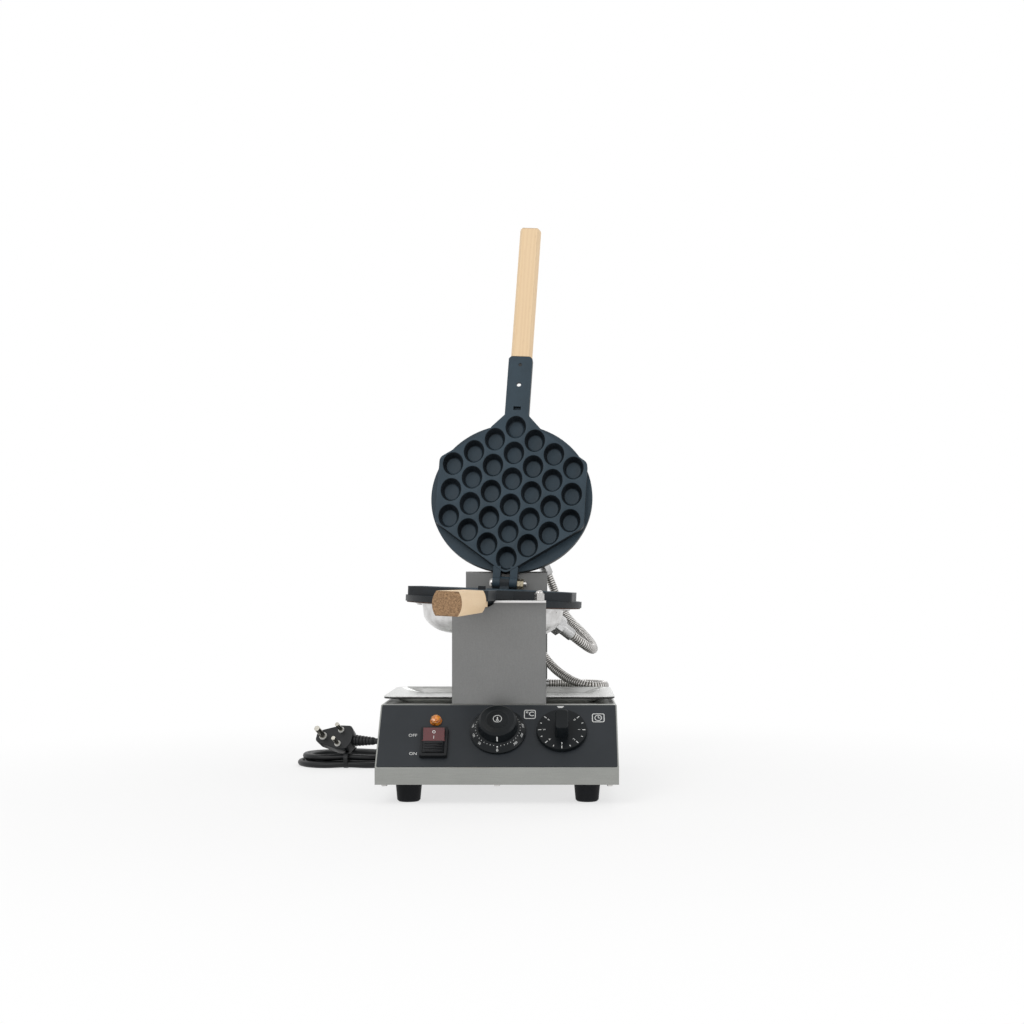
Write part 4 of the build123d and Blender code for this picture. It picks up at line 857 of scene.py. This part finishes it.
GLAND = (-70.0, 165.0, 50.0)
LEAD = [
    GLAND, (-70, 193, 50), (-70, 216, 45), (-70, 239, 33), (-79, 253, 22), (-93, 262, 12.5),
    (-111, 262, 6.5), (-125, 253, 4.15), (-133.6, 239, 4.15), (-134, 215, 4.15),
    (-133.75, 188, 4.15),
    *lane(38.25, 3.75, 0, 12), *lane(38.25, 3.75, 12, 14, 30.75),
    *lane(30.75, 3.75, 14, 28), *lane(30.75, 3.75, 28, 30, 23.25),
    *lane(23.25, 3.75, 30, 38), *lane(24.0, 8.6, 38, 40, 26.0),
    *lane(27.0, 11.4, 40, 54), *lane(28.5, 11.5, 54, 58, 34.5),
    *lane(34.5, 11.5, 58, 64),
    (-136.5, 167, 13.5), (-134, 158, 17), (-131.75, 148, 24.5), (-137.75, 137, 30.5),
    (-150.62, 134.39, 32.566), (-162.077, 137.972, 32.565),
]
lead_curve = route_curve("mains_lead", [at(*p) for p in LEAD])
_, lead_length = read_line(lead_curve)
lead_curve.bevel_depth = LEAD_R
lead_curve.bevel_resolution = 3
lead_curve.resolution_u = 8
lead_curve.use_fill_caps = True
lead_curve.materials.append(lead_sheath)
mains_lead = linked("mains_lead", lead_curve)
print("lead", round(lead_length, 3), "m,", len(LEAD), "points")

# %% [markdown]
# # Plug, tie and strain relief
# The moulded plug keeps the shape of its solid. Round it go the pieces that
# make it read as a plug: pale collars round the pins, and rings moulded into
# the sleeve so that it bends. The tie is a strap round the middle of the hank.
# %% Plug and its rings
plug_skin = dress("plug_body", lead_sheath, "lead_black", sharp=40.0)
pins_skin = dress("plug_pins", pin_nickel, "pin_brass")
plug_x = Vector((0.954, -0.298, 0)).normalized()
plug_out = Vector((-0.25, -0.8, 0.55)).normalized()
plug_side = plug_out.cross(plug_x).normalized()
plug_x = plug_side.cross(plug_out).normalized()
PLUG = axes(plug_x, plug_side, plug_out, at(-213, 146, 37.5))
COLLAR = ((0.02, -0.4), (0.02, 1.0), (0.5, 1.3), (1.2, 1.1), (1.5, 0.4), (1.5, -0.4), (0.02, -0.4))


def add(shape, other):
    """Adds one bmesh to another and lets the other go."""
    passing = finished(other, "passing")
    shape.from_mesh(passing)
    bpy.data.meshes.remove(passing)


collars = bmesh.new()
for x, y, pin_r in ((-15.5, 0, 3.5), (6.7, 9.5, 2.55), (6.7, -9.5, 2.55)):
    add(collars, spun([(pin_r + out, z) for out, z in COLLAR], PLUG @ shift(x, y), 28))
pin_collars = show(collars, "pin_collars", collar_plastic, "base", "grey_plastic")


def ribs(count, first, pitch, narrowing, depth, rises):
    """Profile points of rings moulded into a sleeve, each a little narrower than the last."""
    out = []
    for rib in range(count):
        z, r = first + rib * pitch, 7.0 - narrowing * rib
        out += [(r - depth, z), (r, z + rises[0]), (r, z + rises[1]), (r - depth, z + rises[2])]
    return out


sleeve = spun(
    [(4.1, 0), *ribs(6, 1.0, 4.3, 0.42, 1.2, (0.5, 2.3, 2.8)),
     (4.4, 26.4), (3.7, 27.2), (3.7, 0), (4.1, 0)],
    PLUG @ shift(24, 0, -9) @ turn(90, "Y"), 28)
plug_sleeve = show(sleeve, "plug_sleeve", lead_sheath, "base", "lead_black", sharp=50)

# %% Hank tie and gland
TIE_X, TIE_W, TIE_T = -197.0, 5.0, 1.2
TIE_LONG, TIE_HIGH, TIE_CORNER = 86.4, 18.4, 7.5
strap = flat_patch(TIE_LONG, TIE_HIGH, TIE_CORNER, segments=6)
leave_outline(strap, TIE_T)
thicken(strap, TIE_W)
upright = turn(90, "Z") @ turn(90, "X")
strap_foot = Matrix.Translation(at(TIE_X - TIE_W / 2, HANK[1], TIE_HIGH / 2))
bmesh.ops.transform(strap, matrix=strap_foot @ upright, verts=strap.verts)
hank_tie = show(strap, "hank_tie", lead_sheath, "base", "lead_black", "cord_tie", sharp=50)

relief = spun(
    [(8.0, 0.0), (8.0, 3.0), (7.2, 4.0), *ribs(5, 4.6, 4.6, 0.45, 1.1, (0.6, 2.5, 3.1)),
     (4.6, 28.0), (3.8, 28.6), (3.8, -5.0), (6.0, -5.0), (6.0, 0.0), (8.0, 0.0)],
    Matrix.Translation(at(*GLAND)) @ turn(-90, "X"), 32)
show(relief, "lead_gland", lead_sheath, "base", "knob_black", "cord_gland", sharp=50)

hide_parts("mains_cord", "cord_hank", "plug_lead")
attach(mains_lead, "base")
at(*GLAND)

# %% [markdown]
# # Switch and lamp
# The rocker's solid is cut across the middle and each half gets its own
# finish: the upper half glossy dark red, carrying the marks, and the lower half
# black, with ribs set on it. The lamp lens is a low amber button cut in facets.
# %% Two-colour rocker
FILM = 0.6  # the panel's printed film
ROCKER = on_panel(-66, -10.5, FILM + 3.5) @ turn(12, "X")
ROCKER_SLOPE = math.degrees(math.atan2(2.2, 13.9))
ROCKER_PITCH = 0.158  # that slope as a rise per millimetre, rounded


def half_of(node, side):
    """The part of a node on one side of the rocker's middle, closed where it is cut."""
    half = merged(node)
    bmesh.ops.bisect_plane(
        half, geom=half.verts[:] + half.edges[:] + half.faces[:], dist=1e-7, clear_inner=True,
        plane_co=ROCKER.translation, plane_no=ROCKER.to_3x3().col[1] * side)
    bmesh.ops.holes_fill(half, edges=[e for e in half.edges if e.is_boundary], sides=0)
    bmesh.ops.recalc_face_normals(half, faces=half.faces)
    return half


red_half = half_of("power_rocker", 1)
show(red_half, "rocker_red_half", rocker_plastic, "rocker", "rocker_red", "power_rocker", sharp=24)
ribbed = half_of("power_rocker", -1)
for step in range(4):
    rib = bmesh.new()
    size = Matrix.Diagonal((19.6 * MM, 1.5 * MM, 1.4 * MM, 1))
    bmesh.ops.create_cube(rib, size=1.0, matrix=size)
    bmesh.ops.bevel(rib, geom=rib.edges[:], offset=0.45 * MM, segments=2, affect="EDGES",
                    profile=0.5, material=-1)
    along = -2.6 - 3.1 * step
    crest = ROCKER @ shift(0, along, 1.95 + abs(along) * ROCKER_PITCH)
    bmesh.ops.transform(rib, matrix=crest @ turn(-ROCKER_SLOPE, "X"), verts=rib.verts)
    add(ribbed, rib)
show(ribbed, "rocker_ribbed_half", switch_plastic, "rocker", "knob_black", sharp=30)

# %% Faceted lamp lens
FACETS = 12
LENS_R = 6.4
LENS_STEPS = ((LENS_R, 1.2), (5.5, 2.6), (4.4, 1.5), (2.0, 0.7))  # radius, then rise
lens = bmesh.new()
bmesh.ops.create_circle(lens, cap_ends=True, segments=FACETS, radius=LENS_R * MM)
cap = lens.faces[:]
half_facet = Matrix.Rotation(math.pi / FACETS, 3, "Z")
for radius, rise in LENS_STEPS:
    drawn = bmesh.ops.extrude_face_region(lens, geom=cap)["geom"]
    moved = verts_of(drawn)
    centre = sum((v.co for v in moved), Vector()) / len(moved)
    wide = max((v.co - centre).length for v in moved)
    bmesh.ops.translate(lens, vec=(0, 0, rise * MM), verts=moved)
    bmesh.ops.scale(lens, vec=(radius * MM / wide, radius * MM / wide, 1), verts=moved)
    bmesh.ops.rotate(lens, cent=(0, 0, 0), matrix=half_facet, verts=moved)
    cap = [g for g in drawn if isinstance(g, bmesh.types.BMFace)]
bmesh.ops.recalc_face_normals(lens, faces=lens.faces)
bmesh.ops.transform(lens, matrix=on_panel(-65.5, 18.5, FILM), verts=lens.verts)
show(lens, "lamp_lens_facets", amber, "base", "amber", "lamp_lens", sharp=8)

# %% [markdown]
# # Printed marks
# The marks are screen print: white ink a few hundredths of a millimetre
# thick. Text objects give the letters and figures, and small flat shapes the
# ticks and frames. Each is made a closed mesh first and then laid in place,
# so that a whole print is one piece that rides with its knob or the base.
# %% Ink shapes
INK_T = 0.06


def print_letters(shape, text, height, place, weight=0.0):
    letters = bpy.data.curves.new("letters", "FONT")
    letters.body, letters.size, letters.offset = text, height * MM, weight * MM
    letters.align_x, letters.align_y = "CENTER", "CENTER"
    letters.extrude, letters.resolution_u = INK_T / 2 * MM, 3
    mesh = traced_mesh(letters)
    mesh.transform(place)
    shape.from_mesh(mesh)
    bpy.data.meshes.remove(mesh)


def lay_ink(shape, flat, line, place):
    """Thickens a flat shape, or its outline, and adds it in its place."""
    if line:
        leave_outline(flat, line)
    thicken(flat, INK_T)
    bmesh.ops.transform(flat, matrix=place, verts=flat.verts)
    add(shape, flat)


def print_patch(shape, width, height, place, corner=0.0, line=0.0, taper=1.0):
    """A flat patch of ink, or with line its outline only."""
    lay_ink(shape, flat_patch(width, height, corner, taper=taper), line, place)


def print_ring(shape, radius, line, place, segments=40):
    ring = bmesh.new()
    bmesh.ops.create_circle(ring, cap_ends=True, segments=segments, radius=radius * MM)
    lay_ink(shape, ring, line, place)


# %% [markdown]
# The panel itself carries only plain words and signs: OFF and ON beside the
# switch, a framed degree sign by the temperature knob, a framed clock face by
# the timer, and the timer's index mark.
# %% Marks on the panel
LETTERS = FILM + INK_T / 2  # letters are drawn about their middle
DEGREES, CLOCK = (33.0, 27.4), (105.0, 22.8)
panel_print = bmesh.new()
print_letters(panel_print, "OFF", 5.2, on_panel(-88.5, -0.2, LETTERS))
print_letters(panel_print, "ON", 5.2, on_panel(-86.9, -23.6, LETTERS))
print_patch(panel_print, 12.4, 11.8, on_panel(*DEGREES, FILM), corner=2.2, line=0.9)
print_letters(panel_print, "°C", 8.2, on_panel(DEGREES[0], 27.7, LETTERS), weight=0.12)
print_patch(panel_print, 13.2, 11.4, on_panel(*CLOCK, FILM), corner=2.0, line=0.9)
print_ring(panel_print, 3.9, 0.75, on_panel(*CLOCK, FILM))
print_patch(panel_print, 0.75, 2.8, on_panel(CLOCK[0], 24.0, FILM))
print_patch(panel_print, 2.6, 0.75, on_panel(106.1, 22.6, FILM))
print_patch(panel_print, 7.8, 2.4, on_panel(65.3, 37.2, FILM), taper=0.55)
show(panel_print, "panel_print", white_ink, "base", "panel_black")

# %% [markdown]
# The temperature skirt is a cone, so each mark is laid on its slope: first
# turned round the knob, then moved out to the radius and tipped. The timer
# dial is flat, and its ticks stand round it with a gap at the top.
# %% Marks on the knobs and rocker
KNOB_BASE, DIAL_V, TIMER_X = 1.4, 4.8, 66.5
DIAL_TOP = KNOB_BASE + 3.6
SKIRT_EDGE, SKIRT_TOP = (29.2, 1.6), (21.4, 8.0)  # radius, then height
SKIRT_PITCH = (SKIRT_TOP[1] - SKIRT_EDGE[1]) / (SKIRT_EDGE[0] - SKIRT_TOP[0])
SKIRT_SLOPE = math.degrees(math.atan(SKIRT_PITCH))
CAP_FOOT = KNOB_BASE + SKIRT_TOP[1]
CAP_H, CAP_FRONT, CAP_LEAN = 13.3, 20.35, 86.5


def on_skirt(angle, radius):
    """A place on the temperature skirt, angle clockwise from the bottom, facing out."""
    outward = shift(0, -radius, SKIRT_EDGE[1] + (SKIRT_EDGE[0] - radius) * SKIRT_PITCH)
    return on_panel(0, DIAL_V, KNOB_BASE) @ turn(-angle, "Z") @ outward @ turn(SKIRT_SLOPE, "X")


knob_print = bmesh.new()
for step in range(-15, 16):
    if step:
        print_patch(knob_print, 0.55, 0.9, on_skirt(step * 9.0, 23.4))
for figure, angle in (
    ("50", 45), ("100", 72), ("150", 99), ("200", -99), ("250", -72), ("300", -45),
):
    print_letters(knob_print, figure, 3.4, on_skirt(angle, 26.3), weight=0.02)
print_patch(knob_print, 1.5, 1.5, on_skirt(0, 24.3), corner=0.7)
print_letters(knob_print, "0", 4.2, on_skirt(0, 27.0), weight=0.04)
cap_front = on_panel(0, DIAL_V, CAP_FOOT) @ shift(0, -CAP_FRONT, 5.6) @ turn(CAP_LEAN, "X")
print_patch(knob_print, 1.3, 7.2, cap_front, corner=0.5)
cap_top = on_panel(0, DIAL_V, CAP_FOOT + CAP_H)
print_ring(knob_print, 4.6, 0.55, cap_top)
print_patch(knob_print, 0.9, 3.4, cap_top @ shift(0, 0.6), corner=0.4)
print_ring(knob_print, 1.3, 0.5, cap_top @ shift(0, -1.9), 20)
show(knob_print, "temperature_print", white_ink, "temperature_knob", "knob_black")

timer_print = bmesh.new()
for step in range(-6, 7):
    spot = on_panel(TIMER_X, DIAL_V, DIAL_TOP) @ turn(-22.0 * step, "Z")
    long = step % 2 == 0
    print_patch(timer_print, 0.9, 3.4 if long else 2.0, spot @ shift(0, -23.0), corner=0.3)
    if long:
        minutes = str(3 + step // 2)
        print_letters(timer_print, minutes, 3.6, spot @ shift(0, -18.4, INK_T / 2), weight=0.05)
show(timer_print, "timer_print", white_ink, "timer_knob", "knob_black")

rocker_print = bmesh.new()
for letter, along in (("O", 9.2), ("I", 3.6)):
    spot = ROCKER @ shift(0, along, 1.8 + along * ROCKER_PITCH + 0.05)
    print_letters(rocker_print, letter, 4.4, spot @ turn(ROCKER_SLOPE, "X"), weight=0.05)
show(rocker_print, "rocker_print", white_ink, "rocker", "rocker_red")

# %% [markdown]
# # Light and floor
# Soft light from all round shows every form plainly: a pale sky does most of
# the work, one broad lamp from the upper left gives the shapes a lit side, a
# weaker one fills from the right and a third lights the back. The floor is
# white paper that fades into the white surroundings a little way out.
# %% Studio
world = bpy.data.worlds.new("studio")
world.use_nodes = True
bpy.context.scene.world = world
sky = world.node_tree
paths = sky.nodes.new("ShaderNodeLightPath")
seen = paths.outputs["Is Camera Ray"]
for ray in ("Is Glossy Ray", "Is Transmission Ray"):
    either = sky.nodes.new("ShaderNodeMath")
    either.operation = "MAXIMUM"
    sky.links.new(seen, either.inputs[0])
    sky.links.new(paths.outputs[ray], either.inputs[1])
    seen = either.outputs[0]
level = sky.nodes.new("ShaderNodeMapRange")
level.inputs["To Min"].default_value = 0.62
level.inputs["To Max"].default_value = 1.0
sky.links.new(seen, level.inputs["Value"])
sky.links.new(level.outputs[0], sky.nodes["Background"].inputs["Strength"])
sky.nodes["Background"].inputs["Color"].default_value = (1, 1, 1, 1)


def soft_lamp(name, place, aim, size, power):
    lamp = bpy.data.lights.new(name, "AREA")
    lamp.size, lamp.energy, lamp.shape = size, power, "SQUARE"
    holder = linked(name, lamp)
    holder.location = place
    holder.rotation_euler = (Vector(aim) - Vector(place)).to_track_quat("-Z", "Y").to_euler()


soft_lamp("key_lamp", (-1.1, -1.5, 1.9), (0, 0, 0.25), 1.2, 16)
soft_lamp("fill_lamp", (1.5, -1.0, 1.1), (0, 0, 0.25), 1.2, 6)
soft_lamp("back_lamp", (0.3, 1.7, 1.6), (0, 0.1, 0.3), 1.2, 8)

paper = Finish("white_paper_floor", Roughness=0.9, Base_Color=(0.93, 0.93, 0.93, 1))
distance = paper.node("ShaderNodeVectorMath", {"operation": "LENGTH"}, {0: paper.place}, out=1)
glow = paper.node("ShaderNodeEmission", {}, {"Color": (1, 1, 1, 1), "Strength": 1.0})
far = paper.ramp(distance, 0.30, 0.9) * 0.35 + 0.65
mixed = paper.node("ShaderNodeMixShader", {}, {
    0: far, 1: Value(paper, paper.surface.outputs["BSDF"]), 2: glow,
})
paper.feed(paper.tree.nodes["Material Output"].inputs["Surface"], mixed)
sheet = bmesh.new()
bmesh.ops.create_grid(sheet, x_segments=8, y_segments=8, size=8.0)
floor = linked("floor", finished(sheet, "floor"))
floor.data.materials.append(paper.material)
